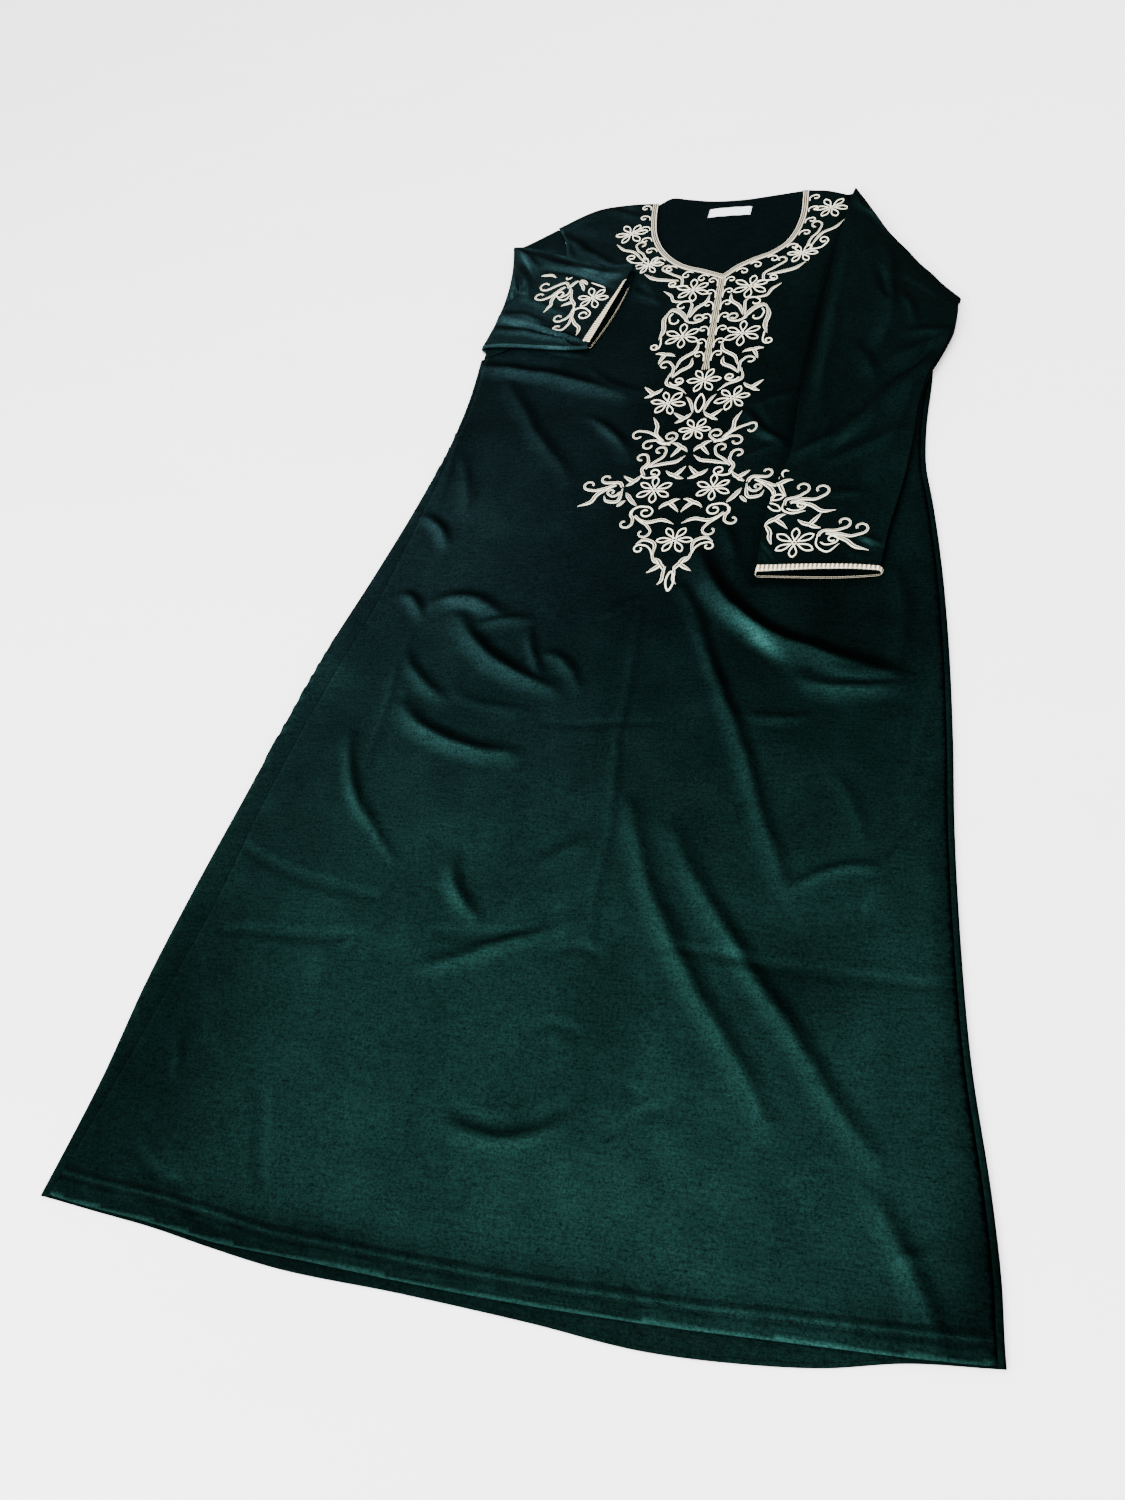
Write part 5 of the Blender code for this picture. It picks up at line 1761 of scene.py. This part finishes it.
@dataclass
class SleeveTube:
    """A set-in sleeve, flattened, turned over at the armhole and laid on the body."""

    layout: Layout
    finishes: Finishes
    name: str
    side: Side
    sections: Sequence[Section]
    armhole: Sequence[Point]
    folds: Sequence[Fold]
    creases: Sequence[Fold]
    flat: tuple[float, float]
    area: float
    mouth: Mouth
    dents: Sequence[Dent]
    top_shares: int = 64
    under_shares: int = 18
    bulge: float = 0.0004
    swell: float = 0.0022
    gap_flat: float = 0.0022
    gap_soft: float = 0.0020
    turn_reach: float = 1.3
    braid_ease: float = 1.6
    braid_steps: int = 9
    braid_tuck: float = 0.75
    braid_thin: float = 0.35

    def shares(self) -> np.ndarray:
        """Places round the tube as shares of its flattened width, over the top and back under."""
        top, under = Shapes.shares(self.top_shares), Shapes.shares(self.under_shares)
        return np.concatenate([top, [1.0], under[::-1], [0.0]])

    def rings(self, keys: np.ndarray, grow: float) -> np.ndarray:
        """Rings round the flattened tube.

        Args:
            keys: places along the sleeve, in rows of its table.
            grow: how far outside the middle of the cloth they lie.

        Returns:
            Rings of places, each closed.
        """
        rows = np.arange(len(self.sections), dtype=float)
        share = self.shares()
        layer = [np.ones(self.top_shares), [0.0], -np.ones(self.under_shares), [0.0]]
        layer = np.concatenate(layer)
        away = np.where(share > 0.5, 1.0, -1.0)
        beyond = np.where(layer == 0.0, away, 0.0) * (grow + self.bulge)
        start = Shapes.curve(self.armhole, share)
        fold_key = min((i for i in range(len(rows)) if self.sections[i].turn == 90), default=0)
        dent = Shapes.smooth(Shapes.column(self.dents, "share"),
                             Shapes.column(self.dents, "depth"), share)
        arch = np.sin(np.pi * share**self.mouth.skew) ** 0.8
        last, before = self.sections[-1], self.sections[-2]
        toward = np.array([last.head_x + last.tail_x - before.head_x - before.tail_x,
                           last.head_y + last.tail_y - before.head_y - before.tail_y])
        toward = toward / np.linalg.norm(toward)
        rings = []
        for key in keys:
            row = Section(*(float(Shapes.smooth(rows, Shapes.column(self.sections, f), key))
                            for f in Section._fields))
            head, tail = np.array([row.head_x, row.head_y]), np.array([row.tail_x, row.tail_y])
            line = (tail - head) / np.linalg.norm(tail - head)
            out = -self.side.value * np.array([line[1], -line[0]])
            plan = head + np.outer(share, tail - head)
            plan = plan + np.outer(4 * row.bow * share * (1 - share), out)
            sewn = np.clip(1.0 - key, 0.0, 1.0)
            plan = sewn * (start + SEAM_GAP * out) + (1 - sewn) * plan + np.outer(beyond, line)
            turning = math.exp(-(((key - fold_key) / self.turn_reach) ** 2)) * (1 - sewn)
            plan = plan - np.outer(dent * turning, out)
            open_by = np.clip((key - rows[-1] + 1.0), 0.0, 1.0) ** 2 * arch
            plan = plan + np.outer(
                open_by * np.where(layer > 0, -self.mouth.back, self.mouth.reach), toward
            )
            level = layer * (row.gap / 2 + grow)
            turn = math.radians(min(max(row.turn, 0.0), 180.0))
            plan = plan + np.outer(level * math.sin(turn), out)
            over = np.clip(1.0 - row.turn / 45.0, 0.0, 1.0)
            under_cloth = self.layout.lie(plan[:, 0], plan[:, 1], fine=False)
            ease = np.clip(key / rows[-1] * 2 - 1.0, 0.0, 1.0) * BRAID * self.braid_ease
            laid = 0.5 * (under_cloth + under_cloth.max()) + CLOTH + SLEEVE_LIFT
            laid = laid + ease + row.gap / 2
            rise = Relief.of(self.folds, plan[:, 0], plan[:, 1])
            rise = rise + Relief.of(self.creases, plan[:, 0], plan[:, 1])
            rise = rise + Relief.swell(plan[:, 0], plan[:, 1], self.swell)
            soft = np.clip((row.gap - self.gap_flat) / self.gap_soft, 0.0, 1.0)
            rise = rise + open_by * self.mouth.lift
            height = over * (laid + rise * (layer > 0) * soft) + (1 - over) * row.height
            rings.append(np.column_stack([plan, height + level * math.cos(turn)]))
        return np.array(rings)

    def build(self) -> bpy.types.Object:
        """Makes the sleeve.

        Returns:
            The sleeve.
        """
        last = len(self.sections) - 1
        turned = [i for i, row in enumerate(self.sections) if 0 < row.turn < 180]
        keys = np.concatenate([
            np.linspace(0, turned[0] - 1, 16)[:-1],
            np.linspace(turned[0] - 1, turned[-1] + 1, 30)[:-1],
            np.linspace(turned[-1] + 1, last, 130),
        ])
        rings = self.rings(keys, CLOTH / 2)
        mesh = Mesh()
        mesh.strip(rings, np.zeros((*rings.shape[:2], 2)), closed=True)
        piece = mesh.build(self.name + "_cloth", self.layout, [self.finishes.velvet],
                           [self.name], "velvet")
        return piece

    def braid(self, widths: Sequence[Dent]) -> bpy.types.Object:
        """Makes the woven band round the cuff.

        Args:
            widths: share of the full width at shares of the way across the upper layer.

        Returns:
            The band.
        """
        last = self.sections[-2:]
        run = math.hypot(last[1].head_x - last[0].head_x, last[1].head_y - last[0].head_y)
        end, steps = len(self.sections) - 1.0, self.braid_steps
        widest = float(Shapes.column(widths, "depth").max())
        keys = np.linspace(end - widest * BRAID_WIDTH / run, end, steps)
        outer = self.rings(keys, CLOTH + SEAM_GAP + BRAID)
        inner = self.rings(keys, CLOTH * self.braid_tuck)
        share = self.shares()
        wide = np.interp(share, Shapes.column(widths, "share"), Shapes.column(widths, "depth"))
        wide = wide / widest
        hidden = np.clip(wide / 0.06, 0.0, 1.0)[:, None]
        tucked = self.rings(keys, 0.0)
        inner = tucked + (inner - tucked) * hidden
        lower = np.arange(len(share)) > self.top_shares
        thick = hidden * np.where(lower, self.braid_thin, 1.0)[:, None]
        rows = []
        for k in np.linspace(0.0, 1.0, steps):
            at = (1 - wide * (1 - k)) * (steps - 1)
            i = np.clip(at.astype(int), 0, steps - 2)
            t, pick = (at - i)[:, None], np.arange(len(share))
            high = (1 - t) * outer[i, pick] + t * outer[i + 1, pick]
            low = (1 - t) * inner[i, pick] + t * inner[i + 1, pick]
            rows.append(low + (high - low) * thick * (self.braid_thin if k == 0 else 1.0))
        rim_ring = self.rings(keys[-1:], CLOTH / 2 + SEAM_GAP)[0]
        rim_ring = tucked[-1] + (rim_ring - tucked[-1]) * hidden
        band = np.stack([*rows, rim_ring])
        around = Shapes.lengths(rows[steps // 2])
        across = np.concatenate([np.linspace(0, 1, steps), [1.0]])
        around[lower] = BraidFinish.pitch / 4
        uvs = np.stack(np.broadcast_arrays(around[None, :], across[:, None]), axis=-1)
        mesh = Mesh()
        mesh.strip(band, uvs, closed=True)
        lip = self.rings(np.array([end, end - LIP / run]), -CLOTH / 2)
        hem = np.stack([rim_ring, lip[0]])
        mesh.strip(hem, np.zeros((*hem.shape[:2], 2)), closed=True, finish=1)
        lip = tucked[-1] + (lip - tucked[-1]) * hidden
        mesh.strip(lip, np.zeros((*lip.shape[:2], 2)), closed=True)
        name = self.name.split("_")[0]
        return mesh.build(name + "_cuff_band", self.layout,
                          [self.finishes.braid, self.finishes.inside],
                          [name + "_cuff_braid"], "braid")


class Bed:
    """The cloth that cords are sewn to, as a height under each place."""

    def __init__(self, piece: bpy.types.Object, layout: Layout) -> None:
        """Reads the piece's faces.

        Args:
            piece: the cloth.
            layout: from the garment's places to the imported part's.
        """
        graph = bpy.context.evaluated_depsgraph_get()
        self.tree = BVHTree.FromObject(piece, graph)
        self.shift = layout.shift

    def height(self, place: np.ndarray) -> np.ndarray:
        """Finds how high the cloth is.

        Args:
            place: places on the garment.

        Returns:
            The height at each place, or nan past the cloth's edge.
        """
        found = np.full(len(place), np.nan)
        for i, (x, y) in enumerate(place):
            start = Vector((x + self.shift[0], y + self.shift[1], 0.2))
            hit = self.tree.ray_cast(start, Vector((0.0, 0.0, -1.0)))[0]
            if hit is not None:
                found[i] = hit.z
        return found


@dataclass
class CordWork:
    """Cords laid on cloth, drawn as plane lines."""

    bed: Bed
    mesh: Mesh = field(default_factory=Mesh)
    step: float = 0.0013
    ply: float = 0.0022
    height: float = 0.0013
    sunk: float = 0.0002
    taper: float = 0.0016
    petal: float = 0.0019
    knot: float = 0.0016
    knot_radius: float = 0.0022
    leaf_wide: float = 0.0050
    leaf_start: float = 0.0022
    tulip_wide: float = 0.0026
    seed: np.random.Generator = field(default_factory=lambda: np.random.default_rng(7))

    def lay(self, line: np.ndarray, wide: np.ndarray, plies: int) -> None:
        """Lays cords side by side along a line.

        Args:
            line: places along the middle.
            wide: full width at each place.
            plies: how many cords share the width.
        """
        level = self.bed.height(line)
        good = ~np.isnan(level)
        for part in np.split(np.arange(len(line)), np.nonzero(np.diff(good.astype(int)))[0] + 1):
            if len(part) >= 3 and good[part[0]]:
                self._lay_part(line[part], wide[part], level[part], plies)

    def _lay_part(self, line: np.ndarray, wide: np.ndarray, level: np.ndarray, plies: int) -> None:
        """Lays cords along a part of a line that has cloth under it all the way.

        Args:
            line: places along the middle.
            wide: full width at each place.
            level: height of the cloth at each place.
            plies: how many cords share the width.
        """
        along = Shapes.lengths(line)
        end = np.clip(np.minimum(along, along[-1] - along) / self.taper, 0.25, 1.0)
        angles = np.linspace(0.0, math.pi, 5)
        lone = plies == 1
        apart, share_half = (1.0, 0.41) if lone else (1.06, 0.42)
        for k in range(plies):
            centre = ((k + 0.5) / plies - 0.5) * wide * apart
            half = wide / plies * share_half * np.sqrt(end)
            rings, uvs = [], []
            for angle in angles:
                edge = Shapes.offset(line, centre - half * math.cos(angle))
                lift = self.height * math.sin(angle) * np.minimum(end, wide / plies / self.ply + 0.3)
                rings.append(np.column_stack([edge, level - self.sunk + lift]))
                # Sides of a cord that touch a neighbouring cord get the finish's full painted groove
                # shade; a stroke's outer sides stay near the lit middle.
                share = angle / math.pi - 0.5
                outer = lone or (k == 0 and share < 0) or (k == plies - 1 and share > 0)
                share = 0.5 + share * (0.2 if outer else 1.0)
                uvs.append(np.column_stack([along + k * 0.011, np.full(len(line), share)]))
            self.mesh.strip(np.stack(rings, axis=1), np.stack(uvs, axis=1), closed=False)

    def stroke(
        self, row: Stroke, move: Callable[[np.ndarray], np.ndarray] | None = None
    ) -> None:
        """Lays a scroll or a leaf.

        Args:
            row: its table entry.
            move: takes its drawn places elsewhere on the garment.
        """
        p = np.array(row[:8]).reshape(4, 2)
        t = np.linspace(0.0, 1.0, 40)[:, None]
        knots = np.linspace(0.0, 1.0, 4)
        line = np.column_stack([Shapes.smooth(knots, p[:, i], t[:, 0]) for i in (0, 1)])
        if row.turn:
            heading = math.atan2(*(line[-1] - line[-2])[::-1])
            sign = 1.0 if row.turn > 0 else -1.0
            degrees = 10.0
            angles = np.radians(np.arange(0.0, abs(row.turn), degrees))
            radius = row.radius * (1.0 - 0.62 * angles / max(angles[-1], math.radians(240)))
            ahead = heading + sign * (angles + math.radians(degrees / 2))
            curl = np.cumsum(
                np.stack([np.cos(ahead), np.sin(ahead)], axis=1)
                * (radius * math.radians(degrees))[:, None], axis=0,
            )
            line = np.vstack([line, line[-1] + curl])
        line = Shapes.even(move(line) if move else line, self.step)
        s = np.linspace(0.0, 1.0, len(line))
        if row.turn:
            first = 0.86 * row.wide
            thin = min(first, 0.0020)
            wide = first + (thin - first) * np.clip((s - 0.25) / 0.65, 0.0, 1.0)
            wide = wide + 0.0005 * np.clip((s - 0.88) / 0.08, 0.0, 1.0)
        else:
            wide = 0.90 * row.wide
            wide = wide * np.clip(np.minimum(s / 0.26, (1.08 - s) / 0.42), 0.16, 1.0) ** 0.8
        self.lay(line, wide, max(1, int(round(row.wide / self.ply))))

    def flower(self, x: float, y: float, aim: float, radius: float) -> None:
        """Lays six looped petals and a ring in their middle.

        Args:
            x: its middle across the garment.
            y: its middle up the garment.
            aim: way of its first petal, in degrees.
            radius: length of a petal.
        """
        for petal in range(6):
            angle = math.radians(aim + 60 * petal + self.seed.uniform(-4, 4))
            reach = radius * self.seed.uniform(0.95, 1.06)
            girth = reach * self.seed.uniform(0.160, 0.185)
            s = np.linspace(0.0, 1.0, 22)
            half = girth * np.sin(np.pi * s**1.45) ** 0.75
            out = np.column_stack([0.15 * reach + 0.82 * reach * s, half])
            loop = np.vstack([out, (out * (1, -1))[::-1][1:]])
            turned = loop @ np.array([[math.cos(angle), math.sin(angle)],
                                      [-math.sin(angle), math.cos(angle)]])
            line = Shapes.even(turned + (x, y), self.step)
            self.lay(line, np.full(len(line), self.petal), 1)
        ring = np.linspace(0.0, 2 * math.pi, 12)
        knot = (x, y) + self.knot_radius * np.column_stack([np.cos(ring), np.sin(ring)])
        self.lay(knot, np.full(len(knot), self.knot), 1)

    def leaf(self, start: np.ndarray, angle: float, length: float, wide: float, bend: float) -> None:
        """Lays one pointed leaf of a bud.

        Args:
            start: its foot.
            angle: its way, in radians.
            length: from foot to point.
            wide: its full width.
            bend: how far it turns, in radians.
        """
        s = np.linspace(0.0, 1.0, max(5, int(length / self.step)))
        heading = angle + bend * (s - 0.3)
        run = np.column_stack([np.cos(heading), np.sin(heading)]) * (length / len(s))
        line = start + np.cumsum(run, axis=0)
        self.lay(line, wide * np.clip((1.05 - s) / 0.62, 0.14, 1.0) ** 0.8, 2)

    def bud(self, row: Motif) -> None:
        """Lays a bud of one long leaf and two short ones.

        Args:
            row: its table entry.
        """
        centre = np.array([row.x, row.y])
        aim, flip = math.radians(row.aim), row.flip
        for turn, share, bend in ((0, 1.0, 0.25), (108, 0.78, -0.9), (-88, 0.70, 0.8)):
            angle = aim + flip * math.radians(turn)
            start = centre - self.leaf_start * np.array([math.cos(angle), math.sin(angle)])
            length = row.size * share + self.leaf_start
            self.leaf(start, angle, length, self.leaf_wide, flip * bend)

    def tulip(self, x: float, foot: float, tip: float, wide: float) -> None:
        """Lays an upright loop with a pointed end.

        Args:
            x: its middle across the garment.
            foot: level of its foot.
            tip: level of its point.
            wide: its full width.
        """
        s = np.linspace(0.0, 1.0, 26)
        half = wide / 2 * np.sin(np.pi * s) ** 0.75
        side = np.column_stack([x + half, foot + (tip - foot) * s])
        other = np.column_stack([x - half, foot + (tip - foot) * s])
        line = Shapes.even(np.vstack([side, other[::-1][1:]]), self.step)
        self.lay(line, np.full(len(line), self.tulip_wide), 1)


@dataclass
class Embroidery:
    """The embroidered bib and both cuff patterns, and the cords of the neck and the placket."""

    layout: Layout
    finishes: Finishes
    curl_wide: float = 0.0021
    neck_wide: float = 0.0073
    neck_away: float = 0.0043
    neck_height: float = 0.0018
    curls_away: float = 0.0100
    placket_middle: float = 0.0011
    placket_top: float = 1.2150
    placket_foot: float = 1.0316
    placket_wide: float = 0.0036
    placket_away: float = 0.0023
    placket_height: float = 0.0017
    scallop: float = 0.0009
    scallop_pitch: float = 0.0257

    @staticmethod
    def drift(place: np.ndarray) -> np.ndarray:
        """Moves places of the right half of the bib to the left half.

        Args:
            place: the drawn places.

        Returns:
            Their places on the left half.
        """
        level = place[:, 1]
        shift = np.interp(level, DRIFT_LEVEL, DRIFT_SHIFT)
        lift = np.interp(level, DRIFT_LEVEL, DRIFT_LIFT)
        return np.column_stack([-place[:, 0] + shift, level + lift])

    def motifs(self, work: CordWork, flowers: Sequence[Motif], buds: Sequence[Motif]) -> None:
        """Lays flowers and buds."""
        for row in flowers:
            work.flower(row.x, row.y, row.aim, row.size)
        for row in buds:
            work.bud(row)

    def mirrored(self, row: Motif) -> Motif:
        """The same motif on the left half."""
        x, y = self.drift(np.array([[row.x, row.y]]))[0]
        return Motif(x, y, 180 - row.aim, row.size, -row.flip)

    def placket(self, work: CordWork) -> None:
        """Lays the small curls beside the placket and outside the neck."""
        for level in np.arange(1.0600, 1.215, 0.0249):
            for sign in (-1, 1):
                x = 0.0012 + sign * 0.0046
                curl = Stroke(x, level - 0.0125, x + sign * 0.0002, level - 0.0065,
                              x + sign * 0.0006, level - 0.0020, x + sign * 0.0022,
                              level + 0.0018, self.curl_wide, sign * -330, 0.0056)
                work.stroke(curl)
        for run, sign in ((RIGHT_NECK, 1.0), (LEFT_NECK[::-1], -1.0)):
            line = Shapes.run(run, 0.001)[::-1]
            outer = Shapes.offset(line, -sign * self.curls_away)
            for at in range(14, len(outer) - 14, 25):
                step = outer[at + 2] - outer[at]
                ahead = math.atan2(step[1], step[0])
                away = ahead + sign * math.pi / 2
                places = [outer[at]]
                for length, way in ((0.006, ahead), (0.0045, ahead + sign * 0.6),
                                    (0.0035, away - sign * 0.35)):
                    places.append(places[-1] + length * np.array([math.cos(way), math.sin(way)]))
                work.stroke(Stroke(*np.ravel(places), self.curl_wide, sign * 300, 0.0052))

    def bib(self, front: bpy.types.Object) -> bpy.types.Object:
        """Makes the embroidery of the front.

        Args:
            front: the cloth that it is sewn to.

        Returns:
            The embroidery.
        """
        work = CordWork(Bed(front, self.layout))
        for move in (None, self.drift):
            for stroke in BIB_STROKES:
                work.stroke(stroke, move)
        self.motifs(work, BIB_FLOWERS, BIB_BUDS)
        self.motifs(work, [self.mirrored(row) for row in BIB_FLOWERS],
                    [self.mirrored(row) for row in BIB_BUDS])
        self.motifs(work, CENTRE_FLOWERS, ())
        work.tulip(0.0015, 0.955, 0.9885, 0.0105)
        work.tulip(0.0042, 0.704, 0.6765, 0.0085)
        self.placket(work)
        return work.mesh.build("bib_embroidery", self.layout, [self.finishes.cord], slot="cord")

    def cuff(
        self, sleeve: bpy.types.Object, name: str, strokes: Sequence[Stroke],
        flowers: Sequence[Motif], buds: Sequence[Motif],
    ) -> bpy.types.Object:
        """Makes the embroidery above one cuff.

        Args:
            sleeve: the cloth that it is sewn to.
            name: the piece's name.
            strokes: its scrolls and leaves.
            flowers: its flowers.
            buds: its buds.

        Returns:
            The embroidery.
        """
        work = CordWork(Bed(sleeve, self.layout))
        for stroke in strokes:
            work.stroke(stroke)
        self.motifs(work, flowers, buds)
        return work.mesh.build(name, self.layout, [self.finishes.cord], slot="cord")

    def edging(self, front: bpy.types.Object) -> tuple[bpy.types.Object, bpy.types.Object]:
        """Makes the cords round the neck and down the placket.

        Args:
            front: the cloth that they are sewn to.

        Returns:
            The neck cords and the placket cords.
        """
        neck = CordWork(Bed(front, self.layout), height=self.neck_height)
        line = Shapes.joined(Shapes.run(RIGHT_NECK, 0.0015), Shapes.run(LEFT_NECK, 0.0015))
        neck.lay(Shapes.offset(line, self.neck_away), np.full(len(line), self.neck_wide), 3)
        collar = neck.mesh.build("neck_cords", self.layout, [self.finishes.neck],
                                 ["neck_braid"], "cord")
        placket = CordWork(Bed(front, self.layout), height=self.placket_height)
        rows = np.arange(self.placket_top, self.placket_foot, -placket.step)
        wave = self.scallop * np.cos((rows - 1.058) / self.scallop_pitch * 2 * math.pi)
        for sign in (-1.0, 1.0):
            across = self.placket_middle + sign * (self.placket_away + wave * 0.4)
            placket.lay(np.column_stack([across, rows]), self.placket_wide + wave, 2)
        strip = placket.mesh.build("placket_cords", self.layout, [self.finishes.placket],
                                   ["placket_braid"], "cord")
        return collar, strip


@dataclass
class Sewing:
    """Machine stitches of the hems, and the neck label."""

    layout: Layout
    finishes: Finishes
    pitch: float = 0.0036
    length: float = 0.0024
    thick: float = 0.0005

    def row(self, mesh: Mesh, bed: Bed, line: np.ndarray) -> None:
        """Adds stitches one after another along a line.

        Args:
            mesh: the piece that they are part of.
            bed: the cloth that they are sewn in.
            line: places along it.
        """
        line = Shapes.even(line, self.pitch)
        level = bed.height(line)
        for i in range(len(line) - 1):
            if np.isnan(level[i]):
                continue
            run = (line[i + 1] - line[i]) / np.linalg.norm(line[i + 1] - line[i])
            side = np.array([-run[1], run[0]]) * self.thick / 2
            a, b = line[i], line[i] + run * self.length
            base = level[i] + 0.00005
            top = level[i] + self.thick * 0.7
            verts = np.array([
                (*(a - side), base), (*(b - side), base), (*(b + side), base), (*(a + side), base),
                (*(a + run * 0.0004), top), (*(b - run * 0.0004), top),
            ])
            mesh.add(verts, [(0, 1, 5, 4), (2, 3, 4, 5), (1, 2, 5), (3, 0, 4)])

    def hems(self, front: bpy.types.Object, back: bpy.types.Object) -> bpy.types.Object:
        """Makes the stitches of both hems.

        Args:
            front: the front, with two rows.
            back: the back, with one row where its hem shows.

        Returns:
            The stitches.
        """
        mesh = Mesh()
        bed = Bed(front, self.layout)
        hem = Shapes.run(FRONT_HEM, 0.004)
        hem[:, 1] = Shapes.sewn(hem[:, 0])
        for rise in SEAM_RISES:
            self.row(mesh, bed, hem + (0.0, rise))
        under = Bed(back, self.layout)
        self.row(mesh, under, Shapes.run(BACK_HEM[3:11], 0.004) + (0.0, 0.0035))
        return mesh.build("hem_stitches", self.layout, [self.finishes.thread], slot="velvet")

    def label(self) -> bpy.types.Object:
        """Makes the blank woven label with its ends turned under and sewn.

        Returns:
            The label.
        """
        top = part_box("neck_label")[1][2]
        across, tall, turn = 0.058, 0.0188, math.radians(-3.0)
        axes = np.array([[math.cos(turn), math.sin(turn)], [-math.sin(turn), math.cos(turn)]])
        x = np.linspace(-across / 2, across / 2, 31)
        y = np.linspace(-tall / 2, tall / 2, 13)
        grid_x, grid_y = np.meshgrid(x, y)
        lift = 0.0006 * np.cos(grid_x / across * math.pi) + 0.0004 * np.cos(grid_y / tall * math.pi)
        lift = lift + 0.0002 * np.sin(grid_x * 320)
        lift[:, :1] = lift[:, -1:] = -0.0004
        place = np.stack([grid_x, grid_y], axis=-1) @ axes + Layout.LABEL_AT
        rings = np.concatenate([place, (top + lift)[..., None]], axis=-1)
        mesh = Mesh()
        mesh.strip(rings, np.zeros((*grid_x.shape, 2)), closed=False)
        for end in (-1, 1):
            for k in range(7):
                at = np.array([end * (across / 2 - 0.0012), (k - 3) * 0.0027])
                a = at @ axes + Layout.LABEL_AT
                b = a + axes[1] * 0.0022
                side = axes[0] * 0.0003
                z = top + 0.0002
                mesh.add(np.array([(*(a - side), z), (*(b - side), z), (*(b + side), z),
                                   (*(a + side), z), (*((a + b) / 2), z + 0.0004)]),
                         [(0, 1, 4), (1, 2, 4), (2, 3, 4), (3, 0, 4)], finish=1)
        return mesh.build("woven_label", self.layout, [self.finishes.label, self.finishes.thread],
                          ["neck_label"], "label")


@dataclass
class Studio:
    """Pale floor, soft light and the camera."""

    view: Viewpoint
    floor_half: float = 6.0
    sky: float = 2.7

    def floor(self) -> None:
        """Makes the floor."""
        mesh = bpy.data.meshes.new("floor")
        half = self.floor_half
        mesh.from_pydata([(-half, -half, 0), (half, -half, 0), (half, half, 0), (-half, half, 0)],
                         [], [(0, 1, 2, 3)])
        floor = bpy.data.objects.new("floor", mesh)
        mesh.materials.append(PlainFinish(
            "pale_floor", (0.93, 0.93, 0.93), (0.91, 0.91, 0.915), 3.0, 0.85
        ).material())
        bpy.context.scene.collection.objects.link(floor)

    def lamp(self, name: str, place: Triple, aim: Triple, size: float, power: float) -> None:
        """Adds one soft square light.

        Args:
            name: its name.
            place: where it hangs.
            aim: what it shines at.
            size: its width.
            power: its power in watts.
        """
        data = bpy.data.lights.new(name, "AREA")
        data.shape, data.size, data.energy = "SQUARE", size, power
        lamp = bpy.data.objects.new(name, data)
        lamp.location = place
        lamp.rotation_euler = (Vector(aim) - Vector(place)).to_track_quat("-Z", "Y").to_euler()
        bpy.context.scene.collection.objects.link(lamp)

    def lights(self) -> None:
        """Sets the sky and the lamps."""
        world = bpy.data.worlds.new("studio")
        world.use_nodes = True
        sky = world.node_tree.nodes["Background"]
        sky.inputs["Color"].default_value = (1.0, 1.0, 1.0, 1.0)
        sky.inputs["Strength"].default_value = self.sky
        bpy.context.scene.world = world
        self.lamp("window", (-1.3, -2.4, 1.8), (0.0, -0.2, 0.0), 1.4, 222.0)
        self.lamp("ceiling", (0.4, 0.4, 3.0), (0.0, 0.0, 0.0), 3.0, 142.0)

    def camera(self) -> None:
        """Sets the camera."""
        data = bpy.data.cameras.new("camera")
        view = self.view
        data.lens, data.sensor_width, data.sensor_fit = view.lens, view.sensor, "AUTO"
        data.clip_start, data.clip_end = 0.01, 50.0
        camera = bpy.data.objects.new("camera", data)
        x, y, z = Vector(view.right), -Vector(view.down), -Vector(view.forward)
        turn = Matrix((x, y, z)).transposed().to_4x4()
        camera.matrix_world = Matrix.Translation(view.eye) @ turn
        bpy.context.scene.collection.objects.link(camera)
        bpy.context.scene.camera = camera


def main() -> None:
    """Builds every piece, then the studio."""
    logging.basicConfig(level=logging.INFO, format="%(message)s")
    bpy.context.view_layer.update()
    layout = Layout()
    view = Viewpoint()
    finishes = Finishes(layout.shift, view)
    back = BackPanel(layout, finishes).build()
    front = FrontPanel(layout, finishes).build()
    right = SleeveTube(
        layout, finishes, "right_sleeve", Side.RIGHT, RIGHT_SLEEVE, RIGHT_ARMHOLE,
        RIGHT_SLEEVE_FOLDS, RIGHT_SLEEVE_CREASES, flat=(0.56, 0.26), area=0.113,
        mouth=Mouth(lift=0.0050, back=0.0020, reach=0.0010, skew=1.0),
        dents=(Dent(0.0, 0.0), Dent(1.0, 0.0)),
    )
    left = SleeveTube(
        layout, finishes, "left_sleeve", Side.LEFT, LEFT_SLEEVE, LEFT_ARMHOLE,
        LEFT_SLEEVE_FOLDS, LEFT_SLEEVE_CREASES, flat=(0.62, 0.70), area=0.20,
        mouth=Mouth(lift=0.0036, back=0.0, reach=0.0028, skew=1.5), dents=LEFT_SHOULDER_DENTS,
    )
    right_cloth, left_cloth = right.build(), left.build()
    right.braid(RIGHT_BAND)
    left.braid(LEFT_BAND)
    needle = Embroidery(layout, finishes)
    needle.edging(front)
    needle.bib(front)
    needle.cuff(right_cloth, "right_cuff_embroidery", RIGHT_CUFF_STROKES,
                RIGHT_CUFF_FLOWERS, RIGHT_CUFF_BUDS)
    needle.cuff(left_cloth, "left_cuff_embroidery", LEFT_CUFF_STROKES,
                LEFT_CUFF_FLOWERS, LEFT_CUFF_BUDS)
    sewing = Sewing(layout, finishes)
    sewing.hems(front, back)
    sewing.label()
    studio = Studio(view)
    studio.floor()
    studio.lights()
    studio.camera()


if __name__ == "__main__":
    main()
